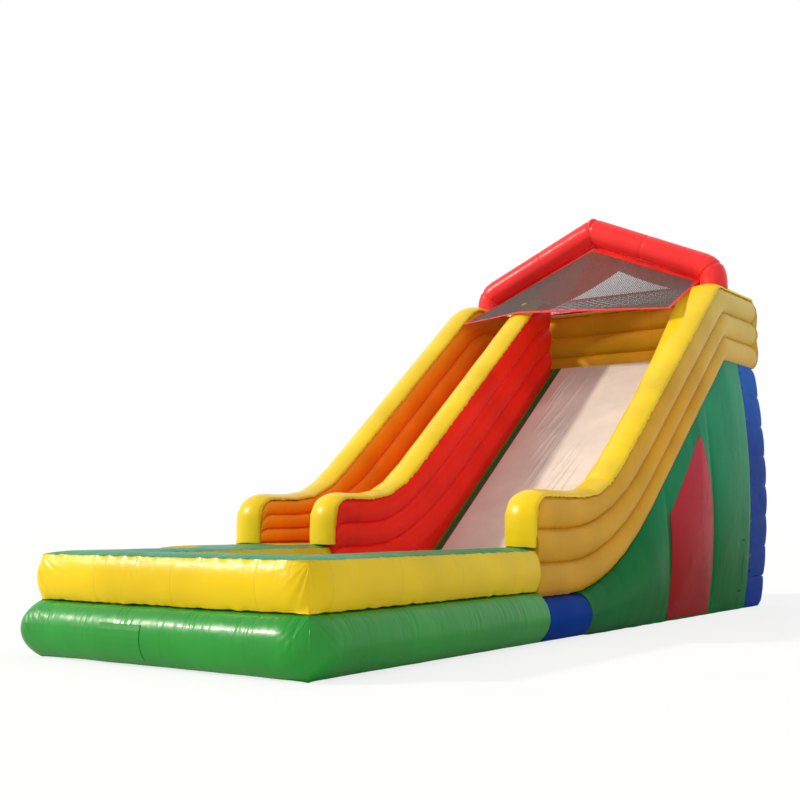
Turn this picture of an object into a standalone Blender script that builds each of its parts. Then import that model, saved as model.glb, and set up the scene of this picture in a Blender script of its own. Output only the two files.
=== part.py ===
import math

import bmesh
import bpy
from mathutils import Vector

for old in list(bpy.data.objects):
    bpy.data.objects.remove(old, do_unlink=True)

# Driving sizes, in metres. Lengths along the slide are measured from the pool's front seam.
seam_gap = 0.0004
cut_overrun = 0.6

# Air chambers: every large piece is a skin round its air, and ports join it to its neighbours
skin = 0.025
port_width = 0.16

# Body
half_width = 2.475
wall_width = 0.40
wall_bulge = 0.07
inner_bulge = 0.05
wall_front_y = 4.36
back_seam_y = 12.60

# Pool
pool_wall_width = 0.62
lower_height = 0.63
upper_height = 0.50
lower_bulge = 0.20
lower_inner_bulge = 0.12
upper_bulge = 0.07
wall_crown = 0.04
floor_thickness = 0.10
pool_left_seam_x = -1.395

# Entry
entry_front_y = 2.80
step_tread = 0.55
step_rise = 0.40
step_bulge = 0.05

# Outer rows of the side walls
row_one_z = 0.56
row_two_z = 0.975
row_three_z = 1.40
wall_top_z = 1.80
rim_thickness = 0.10

# Slope
slope_rise = 0.80
rise_y = 6.50
rise_blend = 1.30
rise_height = 3.68
rise_end_blend = 0.10
lane_level = 0.79
foot_blend = 0.50
right_bend_y = 6.325
right_bend_blend = 0.60
inner_bend_y = 5.80
inner_bend_blend = 0.60
bend_end_blend_right = 0.10
bend_end_blend_inner = 0.25
top_rise = 3.68
ramp_blend = 0.30
row_clear = 0.01

# Divider
divider_x = -0.88
divider_width = 0.37
divider_end_y = 10.75

# Platform
lip_y = 10.875
deck_thickness = 0.40
rear_front_y = 11.75
rear_bulge = 0.12
rear_side_bulge = 0.16
rear_row_bulge = 0.04
rear_corner = 0.22
rear_row_count = 8

# Rims
rim_edge = 0.035
front_corner_radius = 0.30

# Side panels
band_length = 1.14
panel_bulge = 0.20
crease_bulge = 0.10
panel_end_bulge = 0.17
crease_one_y = 8.33
crease_two_y = 10.10
fin_depth = 0.05
fin_swell = 0.03
fin_foot = 0.03
fin_inset = 0.012

# Arch
arch_y = 11.25
arch_radius = 0.24
peak_z = 6.86
rafter_fall = 0.4376
elbow_radius = 0.30

# Net and roof
net_margin = 0.095
net_drop_y = 1.41
net_low_left_z = 5.10
net_low_divider_z = 5.20
net_low_right_z = 4.99
net_thickness = 0.008
tape_thickness = 0.012
top_tape = 0.10
low_tape = 0.055
strand = 0.05
roof_margin_front = 0.025
roof_reach_rear = 0.075
roof_rear_y = 12.30
roof_ridge_z = 6.30
roof_mid_share = 0.465
roof_mid_z = 5.86
roof_eave_z = 5.60
roof_thickness = 0.006
roof_fold = 0.018
rear_net_height = 0.28
rear_net_margin = 0.075
rear_tape = 0.04

# Slide lining
cover_thickness = 0.012
edge_strip_width = 0.10
edge_strip_thickness = 0.006
row_margin = 0.015

# Climbing bars
bar_radius = 0.09
bar_count = 8
bar_inset = 0.12

# Deflation closures
zip_left_x = -0.205
zip_length = 0.61
groove_width = 0.036
groove_depth = 0.016
tape_strip = 0.003
teeth_width = 0.008
slider_length = 0.036
slider_width = 0.022
slider_height = 0.006
flap_thickness = 0.003
side_zip_y = 11.37
side_zip_low = 0.30
side_zip_high = 1.18
side_flap_width = 0.14
side_pocket_depth = 0.020
end_margin = 0.02

# Inlet
sleeve_radius = 0.16
sleeve_wall = 0.006
sleeve_x = -1.20
sleeve_out = 0.45
sleeve_seat = 0.05
strap_width = 0.05
strap_thickness = 0.004
strap_inset = 0.12

rear_reach_y = back_seam_y + rear_bulge + sleeve_out
front_reach = lower_bulge + seam_gap + flap_thickness
middle_y = (rear_reach_y - front_reach) / 2
inner_x = half_width - wall_width
wall_x = half_width - wall_width / 2
net_half_span = inner_x - net_margin
roof_half_front = inner_x - roof_margin_front
roof_half_rear = inner_x + roof_reach_rear
roof_mid_x = roof_half_rear * roof_mid_share
rear_net_half_span = inner_x - rear_net_margin
slope_skin = skin * math.hypot(1.0, slope_rise)
fold_skin = skin * 1.5
corner_skin = skin * 2.4
plateau_z = wall_top_z + top_rise
deck_z = lane_level + rise_height - (rise_height - slope_rise * (lip_y - rise_y))
arc_steps_share = (1 / 8, 3 / 8, 5 / 8, 7 / 8)


def paint(name, colour):
    material = bpy.data.materials.new(name)
    material.use_nodes = True
    shader = material.node_tree.nodes["Principled BSDF"]
    shader.inputs["Base Color"].default_value = (*colour, 1.0)
    shader.inputs["Roughness"].default_value = 0.35
    return material


greens = (0.05, 0.35, 0.12)
yellows = (0.85, 0.62, 0.03)
reds = (0.72, 0.03, 0.03)
blues = (0.01, 0.08, 0.35)
oranges = (0.75, 0.22, 0.03)
whites = (0.62, 0.52, 0.50)
greys = (0.18, 0.16, 0.16)
teals = (0.05, 0.30, 0.22)
blacks = (0.03, 0.03, 0.03)


def place(x, y, z):
    return Vector((x, y - middle_y, z))


def finish(name, mesh, colour):
    item = bpy.data.objects.new(name, mesh)
    bpy.context.scene.collection.objects.link(item)
    mesh.materials.append(paint(name + "_finish", colour))
    return item


def loft(name, bodies, colour):
    """Make one object from lists of closed rings. Each list of rings becomes one capped body."""
    mesh = bpy.data.meshes.new(name)
    shape = bmesh.new()
    for rings in bodies:
        rows = [[shape.verts.new(place(*point)) for point in ring] for ring in rings]
        for near, far in zip(rows, rows[1:]):
            for i in range(len(near)):
                j = (i + 1) % len(near)
                shape.faces.new((near[i], near[j], far[j], far[i]))
        shape.faces.new(rows[0])
        shape.faces.new(rows[-1])
    bmesh.ops.recalc_face_normals(shape, faces=shape.faces)
    shape.to_mesh(mesh)
    shape.free()
    return finish(name, mesh, colour)


def grid_solid(name, tops, bottoms, keep, colour):
    """Make a thin solid from two matching grids of points, leaving open the cells that keep() refuses."""
    mesh = bpy.data.meshes.new(name)
    shape = bmesh.new()
    count_u = len(tops)
    count_v = len(tops[0])
    used = {(i, j) for i in range(count_u - 1) for j in range(count_v - 1) if keep(i, j)}
    verts = {}

    def vert(side, i, j):
        key = (side, i, j)
        if key not in verts:
            source = tops if side else bottoms
            verts[key] = shape.verts.new(place(*source[i][j]))
        return verts[key]

    for i, j in used:
        corners = ((i, j), (i + 1, j), (i + 1, j + 1), (i, j + 1))
        shape.faces.new([vert(True, *c) for c in corners])
        shape.faces.new([vert(False, *c) for c in reversed(corners)])
        sides = (((i, j - 1), 0, 1), ((i + 1, j), 1, 2), ((i, j + 1), 2, 3), ((i - 1, j), 3, 0))
        for neighbour, a, b in sides:
            if neighbour not in used:
                low_a = vert(False, *corners[a])
                low_b = vert(False, *corners[b])
                shape.faces.new((low_a, low_b, vert(True, *corners[b]), vert(True, *corners[a])))
    bmesh.ops.recalc_face_normals(shape, faces=shape.faces)
    shape.to_mesh(mesh)
    shape.free()
    return finish(name, mesh, colour)


def cut(item, cutter):
    cutter.hide_render = True
    cutter.display_type = "WIRE"
    tool = item.modifiers.new("Pocket", "BOOLEAN")
    tool.operation = "DIFFERENCE"
    tool.solver = "EXACT"
    tool.object = cutter


def hollow(item, rings):
    """Empty a piece: the rings bound the air inside its skin."""
    cut(item, loft(item.name + "_air", [rings], greys))


def box_rings(x_low, x_high, y_low, y_high, z_low, z_high):
    corners = ((x_low, z_low), (x_high, z_low), (x_high, z_high), (x_low, z_high))
    return [[(x, y, z) for x, z in corners] for y in (y_low, y_high)]


def hollow_box(item, x_low, x_high, y_low, y_high, z_low, z_high):
    """Empty a straight piece, given the planes of its seams."""
    hollow(item, box_rings(x_low + skin, x_high - skin, y_low + skin, y_high - skin, z_low + skin, z_high - skin))


def lane_air(stations, x_low, x_high, low, high):
    """The air of a piece that runs along the slide between two lines of height."""
    return [[(x_low + skin, y, low(y)), (x_high - skin, y, low(y)), (x_high - skin, y, high(y)),
             (x_low + skin, y, high(y))] for y in stations]


def port(name, first, second, x, y, z):
    """Join the air of two neighbours by a square hole through both skins."""
    half = port_width / 2
    hole = loft("port_" + name, [box_rings(x - half, x + half, y - half, y + half, z - half, z + half)], greys)
    cut(first, hole)
    cut(second, hole)


def arc(low, high, bulge, steps):
    """Offsets and heights from low up to, but not at, high, on a circular arc of the given bulge."""
    chord = high - low
    radius = (chord * chord / 4 + bulge * bulge) / (2 * bulge)
    half_angle = math.asin(min(1.0, chord / 2 / radius))
    points = []
    for k in range(steps):
        angle = -half_angle + 2 * half_angle * k / steps
        points.append((radius * math.cos(angle) - radius + bulge, (low + high) / 2 + radius * math.sin(angle)))
    return points


def rows_of(seams, bulge, steps):
    points = []
    for low, high in zip(seams, seams[1:]):
        points += arc(low, high, min(bulge, (high - low) / 3), steps)
    return points


def even(low, high, count):
    return [low + (high - low) * k / count for k in range(count + 1)]


def ramp_curve(y, bend, blend, slope):
    """Zero before the bend, the slope after it, and a parabola between."""
    if y <= bend - blend:
        return 0.0
    if y >= bend + blend:
        return slope * (y - bend)
    return slope * (y - bend + blend) ** 2 / (4 * blend)


def rise(y):
    end = rise_y + rise_height / slope_rise
    return ramp_curve(y, rise_y, rise_blend, slope_rise) - ramp_curve(y, end, rise_end_blend, slope_rise)


def top_rise_at(y, bend, blend, end_blend):
    end = bend + top_rise / slope_rise
    return ramp_curve(y, bend, blend, slope_rise) - ramp_curve(y, end, end_blend, slope_rise)


corner_angles = [math.pi / 12 * k for k in range(7)]


def front_corner(y):
    """Height lost below the top line at the rounded front corner of a wall."""
    run = y - wall_front_y
    if run >= front_corner_radius:
        return 0.0
    across = front_corner_radius - run
    return front_corner_radius - math.sqrt(max(0.0, front_corner_radius ** 2 - across ** 2))


def right_top(y):
    lift = top_rise_at(y, right_bend_y, right_bend_blend, bend_end_blend_right)
    return wall_top_z + lift - front_corner(y)


def inner_top(y):
    lift = top_rise_at(y, inner_bend_y, inner_bend_blend, bend_end_blend_inner)
    return wall_top_z + lift - front_corner(y)


def lane_row(y):
    return lane_level + rise(y) if y < lip_y else deck_z


def climb_top(y):
    start = rise_y + (upper_height + lower_height + wall_crown - lane_level) / slope_rise
    level = upper_height + lower_height + wall_crown + ramp_curve(y, start, ramp_blend, slope_rise)
    return min(level, deck_z)


def climb_row(y):
    return min(climb_top(y) + row_clear, deck_z + row_clear)


front_stations = [wall_front_y + front_corner_radius * (1 - math.cos(a)) for a in corner_angles]
blend_stations = even(rise_y - rise_blend, rise_y + rise_blend, 6)
right_end_y = right_bend_y + top_rise / slope_rise
inner_end_y = inner_bend_y + top_rise / slope_rise
rise_end_y = rise_y + rise_height / slope_rise
end_stations = [
    inner_end_y - bend_end_blend_inner,
    inner_end_y - bend_end_blend_inner / 2,
    inner_end_y,
    inner_end_y + bend_end_blend_inner / 2,
    inner_end_y + bend_end_blend_inner,
    right_end_y - bend_end_blend_right,
    right_end_y,
    right_end_y + bend_end_blend_right,
    rise_end_y - rise_end_blend,
    rise_end_y,
    rise_end_y + rise_end_blend,
]


def tidy(values):
    kept = []
    for value in sorted(values):
        if not kept or value - kept[-1] > end_margin:
            kept.append(value)
    return kept


slope_stations = tidy(blend_stations + end_stations + [lip_y])
wall_stations = front_stations + slope_stations


def seam_rise(y):
    """The rise along the straight edges that the walls have between their stations."""
    for low, high in zip(slope_stations, slope_stations[1:]):
        if low <= y <= high:
            return rise(low) + (rise(high) - rise(low)) * (y - low) / (high - low)
    return rise(y)


def mitre(x):
    """Distance along the slide of the rear corner's fold at a distance x from the middle."""
    return back_seam_y - half_width + abs(x)


def wall_section(outer, inner_points, x_out, x_in, out_bulge, in_bulge, side):
    """A closed section: up the outer face, over the top, and down the inner face."""
    up = rows_of(outer, out_bulge, 5)
    down = rows_of(inner_points, in_bulge, 5)
    points = [(side * (x_out + off), z) for off, z in up] + [(side * x_out, outer[-1])]
    points += [(side * x_in, inner_points[-1])]
    points += [(side * (x_in - off), z) for off, z in reversed(down)]
    points += [(side * x_in, outer[0])]
    return points


def side_wall(name, side, top, level, colour):
    rings = []
    for y in wall_stations:
        outer = [row_one_z + rise(y), row_two_z + rise(y), row_three_z + rise(y), top(y)]
        section = wall_section(outer, even(level(y), top(y), 3), half_width, inner_x, wall_bulge, inner_bulge, side)
        rings.append([(x, y, z) for x, z in section])
    last = [(x, mitre(x) - seam_gap, z) for x, _, z in rings[-1]]
    rings.append(last)
    item = loft(name, [rings], colour)
    x_low, x_high = sorted((side * inner_x, side * half_width))
    air = lane_air(air_stations, x_low, x_high, lambda y: row_one_z + rise(y) + slope_skin,
                   lambda y: top(y) - slope_skin)
    air.append([(x, mitre(x) - fold_skin, z) for x, _, z in air[-1]])
    hollow(item, air)
    return item


# Side walls of stacked rows
air_stations = [wall_front_y + corner_skin] + [v for v in wall_stations if v > wall_front_y + corner_skin + end_margin]
wall_right = side_wall("wall_right", 1, right_top, lane_row, yellows)
wall_left = side_wall("wall_left", -1, inner_top, climb_row, oranges)

# Back wall, folded to meet the side walls at the rear corners
back_outer = [row_one_z + rise_height, row_two_z + rise_height, row_three_z + rise_height, plateau_z]
back_section = wall_section(back_outer, even(deck_z, plateau_z, 3), back_seam_y, back_seam_y - wall_width,
                            wall_bulge, inner_bulge, 1)
corner_x = [half_width - back_seam_y + y - seam_gap for y, _ in back_section]
wall_back = loft("wall_back", [[[(side * x, y, z) for x, (y, z) in zip(corner_x, back_section)] for side in (-1, 1)]],
                 oranges)
back_air = [(y, z) for y in (back_seam_y - wall_width + skin, back_seam_y - skin)
            for z in (row_one_z + rise_height + skin, plateau_z - skin)]
back_air = [back_air[k] for k in (0, 2, 3, 1)]
hollow(wall_back, [[(side * (half_width - back_seam_y + y - fold_skin), y, z) for y, z in back_air]
                   for side in (-1, 1)])

# Divider between the two lanes
divider_right = divider_x + divider_width / 2
divider_left = divider_x - divider_width / 2
divider_rings = []
for y in [v for v in wall_stations if v < divider_end_y - end_margin] + [divider_end_y]:
    right_side = rows_of(even(lane_row(y) + row_clear, inner_top(y), 3), inner_bulge, 5)
    left_side = rows_of(even(climb_row(y), inner_top(y), 3), inner_bulge, 5)
    section = [(divider_right, 0.0)] + [(divider_right + off, z) for off, z in right_side]
    section += [(divider_right, inner_top(y)), (divider_left, inner_top(y))]
    section += [(divider_left - off, z) for off, z in reversed(left_side)] + [(divider_left, 0.0)]
    divider_rings.append([(x, y, z) for x, z in section])
divider = loft("divider", [divider_rings], reds)
divider_air = [y for y in air_stations if y < divider_end_y - corner_skin] + [divider_end_y - skin]
hollow(divider, lane_air(divider_air, divider_left, divider_right, lambda y: skin,
                         lambda y: inner_top(y) - slope_skin))

# Rims: padded bands over the front and the top of each wall
rim_offsets = [arch_radius * math.cos(math.pi * k / 8) for k in range(1, 8)]
rim_half = rim_offsets[0]


def rim_section():
    """Distances across the band and off the wall, round the band."""
    crown = [(a, rim_thickness - (rim_thickness - rim_edge) * (a / rim_half) ** 2) for a in rim_offsets]
    return [(rim_half, seam_gap)] + crown + [(-rim_half, seam_gap)]


def rim_path(top, last_y):
    low = upper_height + lower_height + wall_crown + seam_gap
    nodes = [(wall_front_y, low)]
    nodes += [(y, top(y)) for y in wall_stations if y < last_y - end_margin] + [(last_y, top(last_y))]
    return nodes


def rim_rings(path, centre_x, end_of):
    rings = []
    for k, (y, z) in enumerate(path):
        before = Vector(path[k]) - Vector(path[k - 1]) if k else Vector((0.0, 1.0))
        after = Vector(path[k + 1]) - Vector(path[k]) if k + 1 < len(path) else Vector((1.0, 0.0))
        before.normalize()
        after.normalize()
        along = (before + after).normalized()
        normal = Vector((-along.y, along.x)) / max(along.dot(after), 0.5)
        ring = [(centre_x + a, y + normal.x * off, z + normal.y * off) for a, off in rim_section()]
        if end_of and k + 1 == len(path):
            ring = [(x, end_of(x), z_point) for x, _, z_point in ring]
        rings.append(ring)
    return rings


rim_rear = wall_stations[-1]


def rear_fold(x):
    return mitre(x) - seam_gap


right_path = rim_path(right_top, rim_rear) + [(mitre(wall_x), plateau_z)]
inner_path = rim_path(inner_top, rim_rear) + [(mitre(wall_x), plateau_z)]
loft("rim_right", [rim_rings(right_path, wall_x, rear_fold)], yellows)
loft("rim_left", [rim_rings(inner_path, -wall_x, rear_fold)], yellows)
loft("rim_divider", [rim_rings(rim_path(inner_top, divider_end_y), divider_x, None)], yellows)
rim_back = []
for side in (-1, 1):
    ring = []
    for a, off in rim_section():
        y = back_seam_y - wall_width / 2 + a
        ring.append((side * (half_width - back_seam_y + y - seam_gap), y, plateau_z + off))
    rim_back.append(ring)
loft("rim_back", [rim_back], yellows)

# Slide bed and climbing ramp, both standing on the ground
foot_y = rise_y - (lane_level - floor_thickness) / slope_rise


def bed_top(y):
    return min(floor_thickness + ramp_curve(y, foot_y, foot_blend, slope_rise), deck_z)


bed_stations = even(foot_y - foot_blend, foot_y + foot_blend, 6) + [lip_y - seam_gap]


def block_rings(stations, top, x_low, x_high):
    return [[(x_low, y, 0.0), (x_high, y, 0.0), (x_high, y, top(y)), (x_low, y, top(y))] for y in stations]


lane_left = divider_right + seam_gap
lane_right = inner_x - seam_gap
slide_bed = loft("slide_bed", [block_rings(bed_stations, bed_top, lane_left, lane_right)], teals)
hollow(slide_bed, lane_air([foot_y + foot_blend, lip_y - fold_skin], lane_left, lane_right, lambda y: skin,
                           lambda y: bed_top(y) - slope_skin))

ramp_start_y = rise_y + (upper_height + lower_height + wall_crown - lane_level) / slope_rise
ramp_stations = [wall_front_y + seam_gap] + even(ramp_start_y - ramp_blend, ramp_start_y + ramp_blend, 4)
ramp_stations += [lip_y - seam_gap]
climb_left = -inner_x + seam_gap
climb_right = divider_left - seam_gap
climb_ramp = loft("climb_ramp", [block_rings(ramp_stations, climb_top, climb_left, climb_right)], yellows)
ramp_air = [wall_front_y + fold_skin] + ramp_stations[1:-1] + [lip_y - fold_skin]
hollow(climb_ramp, lane_air(ramp_air, climb_left, climb_right, lambda y: skin,
                            lambda y: climb_top(y) - slope_skin))

# Climbing bars across the ramp, half round, their flat side on the slope
slope_angle = math.atan(slope_rise)
bar_span = lip_y - ramp_start_y - 2 * ramp_blend
for k in range(bar_count):
    y = ramp_start_y + ramp_blend + bar_span * (k + 1) / bar_count
    z = climb_top(y)
    outline = []
    for step in range(9):
        turn = math.pi * step / 8
        along = bar_radius * math.cos(turn)
        off = bar_radius * math.sin(turn) + seam_gap
        outline.append((y + along * math.cos(slope_angle) - off * math.sin(slope_angle),
                        z + along * math.sin(slope_angle) + off * math.cos(slope_angle)))
    bar_rings = [[(x, a, b) for a, b in outline] for x in (climb_left + bar_inset, climb_right - bar_inset)]
    loft("climb_bar_" + str(k + 1), [bar_rings], blues)

# Platform deck and its base
rear_top_z = row_one_z + rise_height - seam_gap
deck_profile = [
    (lip_y, deck_z - deck_thickness),
    (rear_front_y - seam_gap, deck_z - deck_thickness),
    (rear_front_y - seam_gap, rear_top_z + seam_gap),
    (back_seam_y - wall_width - seam_gap, rear_top_z + seam_gap),
    (back_seam_y - wall_width - seam_gap, deck_z),
    (lip_y, deck_z),
]
platform_deck = loft("platform_deck", [[[(x, y, z) for y, z in deck_profile] for x in (-lane_right, lane_right)]],
                     greens)
hollow_box(platform_deck, -lane_right, lane_right, lip_y, rear_front_y, deck_z - deck_thickness, deck_z)
base_top = deck_z - deck_thickness - seam_gap
base_profile = [(lip_y, 0.0), (rear_front_y - seam_gap, 0.0), (rear_front_y - seam_gap, base_top), (lip_y, base_top)]
platform_base = loft("platform_base", [[[(x, y, z) for y, z in base_profile] for x in (-lane_right, lane_right)]],
                     teals)
hollow_box(platform_base, -lane_right, lane_right, lip_y, rear_front_y, 0.0, base_top)

# Rear wall of stacked rows under the back wall; its lowest row is a piece of its own, which holds the air inlet
rear_seams = even(0.0, rear_top_z, rear_row_count)


def rear_ring(z, row):
    """The rear wall's outline at a height, where its row has swollen by the given share."""
    whole = 4 * (z / rear_top_z) * (1 - z / rear_top_z)
    x = half_width + rear_side_bulge * whole + rear_row_bulge * row
    y = back_seam_y + rear_bulge * row
    ring = [(-x, rear_front_y, z), (x, rear_front_y, z), (x, y - rear_corner, z)]
    ring += [(x - rear_corner * (1 - math.cos(a)), y - rear_corner * (1 - math.sin(a)), z)
             for a in (math.pi / 6, math.pi / 3)]
    ring += [(x - rear_corner, y, z), (rear_corner - x, y, z)]
    ring += [(rear_corner * (1 - math.cos(a)) - x, y - rear_corner * (1 - math.sin(a)), z)
             for a in (math.pi / 3, math.pi / 6)]
    return ring + [(-x, y - rear_corner, z)]


def rear_rows(seams):
    rings = []
    for low, high in zip(seams, seams[1:]):
        rings += [rear_ring(low + (high - low) * share, 4 * share * (1 - share)) for share in (0.0, *arc_steps_share)]
    return rings + [rear_ring(seams[-1], 0.0)]


inlet_rings = rear_rows(rear_seams[:2])
inlet_rings[-1] = [(x, y, z - seam_gap) for x, y, z in inlet_rings[-1]]
inlet_row = loft("inlet_row", [inlet_rings], blues)
rear_wall = loft("rear_wall", [rear_rows(rear_seams[1:])], blues)
rear_air = []
for z in [rear_seams[1] + skin] + rear_seams[2:-1] + [rear_top_z - skin]:
    x = half_width + rear_side_bulge * 4 * (z / rear_top_z) * (1 - z / rear_top_z) - skin
    y = back_seam_y - skin
    bend = rear_corner - skin
    ring = [(-x, rear_front_y + skin, z), (x, rear_front_y + skin, z)]
    ring += [(x - bend * (1 - math.cos(a)), y - bend * (1 - math.sin(a)), z) for a in (0.0, math.pi / 4, math.pi / 2)]
    ring += [(bend * (1 - math.cos(a)) - x, y - bend * (1 - math.sin(a)), z) for a in (math.pi / 2, math.pi / 4, 0.0)]
    rear_air.append(ring)
hollow(rear_wall, rear_air)

# Air inlet sleeve set into the lowest rear row
sleeve_z = rear_seams[1] / 2
sleeve_start = back_seam_y - sleeve_seat
sleeve_end = rear_reach_y


def circle(radius, y, count=24):
    return [(sleeve_x + radius * math.cos(2 * math.pi * k / count), y,
             sleeve_z + radius * math.sin(2 * math.pi * k / count)) for k in range(count)]


def pipe(name, outer, inner, y_low, y_high, colour):
    mesh = bpy.data.meshes.new(name)
    shape = bmesh.new()
    loops = [circle(outer, y_low), circle(outer, y_high), circle(inner, y_high), circle(inner, y_low)]
    rows = [[shape.verts.new(place(*point)) for point in ring] for ring in loops]
    for near, far in zip(rows, rows[1:] + rows[:1]):
        for i in range(len(near)):
            j = (i + 1) % len(near)
            shape.faces.new((near[i], near[j], far[j], far[i]))
    bmesh.ops.recalc_face_normals(shape, faces=shape.faces)
    shape.to_mesh(mesh)
    shape.free()
    return finish(name, mesh, colour)


socket = loft("socket_cutter", [[circle(sleeve_radius + seam_gap, sleeve_start - seam_gap),
                                 circle(sleeve_radius + seam_gap, rear_reach_y + cut_overrun)]], greys)
cut(inlet_row, socket)
pipe("inlet_sleeve", sleeve_radius, sleeve_radius - sleeve_wall, sleeve_start, sleeve_end, blues)
strap_y = sleeve_end - strap_inset
pipe("inlet_strap", sleeve_radius + seam_gap + strap_thickness, sleeve_radius + seam_gap,
     strap_y - strap_width, strap_y, blacks)

# Side panels: three upright pillows on each side, with a red fin in the middle one
panel_start_y = wall_front_y + band_length
panel_end_y = rear_front_y - seam_gap
pillow_ends = (panel_start_y, crease_one_y, crease_two_y, panel_end_y)
pillow_edge_bulges = (panel_bulge, crease_bulge, crease_bulge * 1.2, panel_end_bulge)


def panel_swell(y):
    for k in range(3):
        low, high = pillow_ends[k], pillow_ends[k + 1]
        if y <= high or k == 2:
            share = min(1.0, max(0.0, (y - low) / (high - low)))
            base = pillow_edge_bulges[k] + (pillow_edge_bulges[k + 1] - pillow_edge_bulges[k]) * share
            return base + (panel_bulge - base) * math.sqrt(4 * share * (1 - share))
    return panel_end_bulge


def panel_side(y):
    """Outward offsets and heights of the side panel at one place along the slide."""
    return arc(0.0, row_one_z + seam_rise(y) - seam_gap, panel_swell(y), 8)


def panel_x(y, z):
    height = row_one_z + seam_rise(y) - seam_gap
    bulge = panel_swell(y)
    radius = (height * height / 4 + bulge * bulge) / (2 * bulge)
    return half_width + math.sqrt(radius ** 2 - (z - height / 2) ** 2) - radius + bulge


pillow_shares = (0.0, 0.06, 0.2, 0.35, 0.5, 0.65, 0.8, 0.94)
pillow_stations = [low + (high - low) * share for low, high in zip(pillow_ends, pillow_ends[1:])
                   for share in pillow_shares] + [panel_end_y]
bend_stations = [v for v in slope_stations if panel_start_y < v < panel_end_y]
panel_stations = bend_stations + [v for v in pillow_stations if min(abs(v - b) for b in bend_stations) > end_margin]
panel_stations = sorted(panel_stations)

fin_height = 2.86
fin_end_y = 10.02
fin_start_y = crease_one_y + fin_inset
fin_length = fin_end_y - fin_start_y
fin_shares = ((0.0, 0.0), (0.0, 0.27), (0.01, 0.45), (0.02, 0.555), (0.40, 0.77), (0.80, 0.99), (0.84, 1.0),
              (0.88, 0.93), (0.94, 0.76), (0.985, 0.6), (1.0, 0.45), (1.0, 0.25), (0.985, 0.0))


def fin_outline(grow):
    points = [(fin_start_y + a * fin_length, fin_foot + b * (fin_height - fin_foot)) for a, b in fin_shares]
    grown = []
    for k, point in enumerate(points):
        before = Vector(points[k - 1])
        after = Vector(points[(k + 1) % len(points)])
        here = Vector(point)
        first = (here - before).normalized()
        second = (after - here).normalized()
        normal = Vector((-first.y - second.y, first.x + second.x)).normalized()
        grown.append(here + normal * grow / max(normal.dot(Vector((-first.y, first.x))), 0.3))
    return grown


def side_panel(name, side):
    rings = []
    for y in panel_stations:
        section = [(side * (half_width + off), y, z) for off, z in panel_side(y)]
        top = row_one_z + seam_rise(y) - seam_gap
        section += [(side * half_width, y, top), (side * (inner_x + seam_gap), y, top)]
        section += [(side * (inner_x + seam_gap), y, 0.0)]
        rings.append(section)
    return loft(name, [rings], greens)


def fin_pieces(side, label, panel):
    mid = Vector((fin_start_y + fin_length * 0.55, fin_height * 0.45))
    floor_x = side * (half_width - fin_depth)
    edge = fin_outline(0.0)
    rings = [[(floor_x, y, z) for y, z in edge]]
    rings.append([(side * panel_x(y, z), y, z) for y, z in edge])
    for share in (0.85, 0.65, 0.4, 0.15):
        inward = [mid + (point - mid) * share for point in edge]
        lift = fin_swell * (1 - share * share)
        rings.append([(side * (panel_x(y, z) + lift), y, z) for y, z in inward])
    loft("fin_" + label, [rings], reds)
    wide = fin_outline(seam_gap)
    outer_x = side * (half_width + cut_overrun)
    floor_cut = floor_x - side * seam_gap
    cutter = loft("fin_cutter_" + label, [[[(floor_cut, y, z) for y, z in wide], [(outer_x, y, z) for y, z in wide]]],
                  greys)
    cut(panel, cutter)


side_right = side_panel("side_right", 1)
side_left = side_panel("side_left", -1)
panel_air = [panel_start_y + skin] + [v for v in slope_stations if panel_start_y + skin < v < panel_end_y - skin]
panel_air += [panel_end_y - skin]
for side, item in ((1, side_right), (-1, side_left)):
    x_low, x_high = sorted((side * inner_x, side * (half_width - fin_depth)))
    hollow(item, lane_air(panel_air, x_low, x_high, lambda y: skin, lambda y: row_one_z + seam_rise(y) - slope_skin))
fin_pieces(1, "right", side_right)
fin_pieces(-1, "left", side_left)

# Blue bands between the pool and the side panels
bands = {}
for side, label in ((1, "right"), (-1, "left")):
    section = [(side * (half_width + off), z) for off, z in arc(0.0, row_one_z - seam_gap, lower_bulge, 8)]
    section += [(side * half_width, row_one_z - seam_gap), (side * (inner_x + seam_gap), row_one_z - seam_gap)]
    section += [(side * (inner_x + seam_gap), 0.0)]
    bands[label] = loft("band_" + label, [[[(x, y, z) for x, z in section]
                                           for y in (wall_front_y + seam_gap, panel_start_y - seam_gap)]], blues)
    x_low, x_high = sorted((side * inner_x, side * half_width))
    hollow_box(bands[label], x_low, x_high, wall_front_y, panel_start_y, 0.0, row_one_z)

# Pool walls: a wide lower tube and a narrower upper tube, folded at the front corners
butt_y = wall_front_y - seam_gap
pool_inner_right = half_width - pool_wall_width
pool_inner_left = pool_left_seam_x + pool_wall_width
upper_top = lower_height + upper_height
lower_steps = 12


def lower_section():
    """Distance in from the outer seam, and height."""
    outer = [(-off, z) for off, z in arc(0.0, lower_height, lower_bulge, lower_steps)]
    inner = [(pool_wall_width + off, z) for off, z in arc(floor_thickness, lower_height, lower_inner_bulge, 8)]
    return (outer + [(0.0, lower_height), (pool_wall_width, lower_height)] + list(reversed(inner))
            + [(pool_wall_width, 0.0)])


def upper_section():
    low = lower_height + seam_gap
    outer = [(-off, z) for off, z in arc(low, upper_top, upper_bulge, 8)]
    inner = [(pool_wall_width + off, z) for off, z in arc(low, upper_top, upper_bulge, 8)]
    crown = [(pool_wall_width * share, upper_top + wall_crown * 4 * share * (1 - share)) for share in even(0.0, 1.0, 6)]
    return outer + crown + list(reversed(inner))


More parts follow.
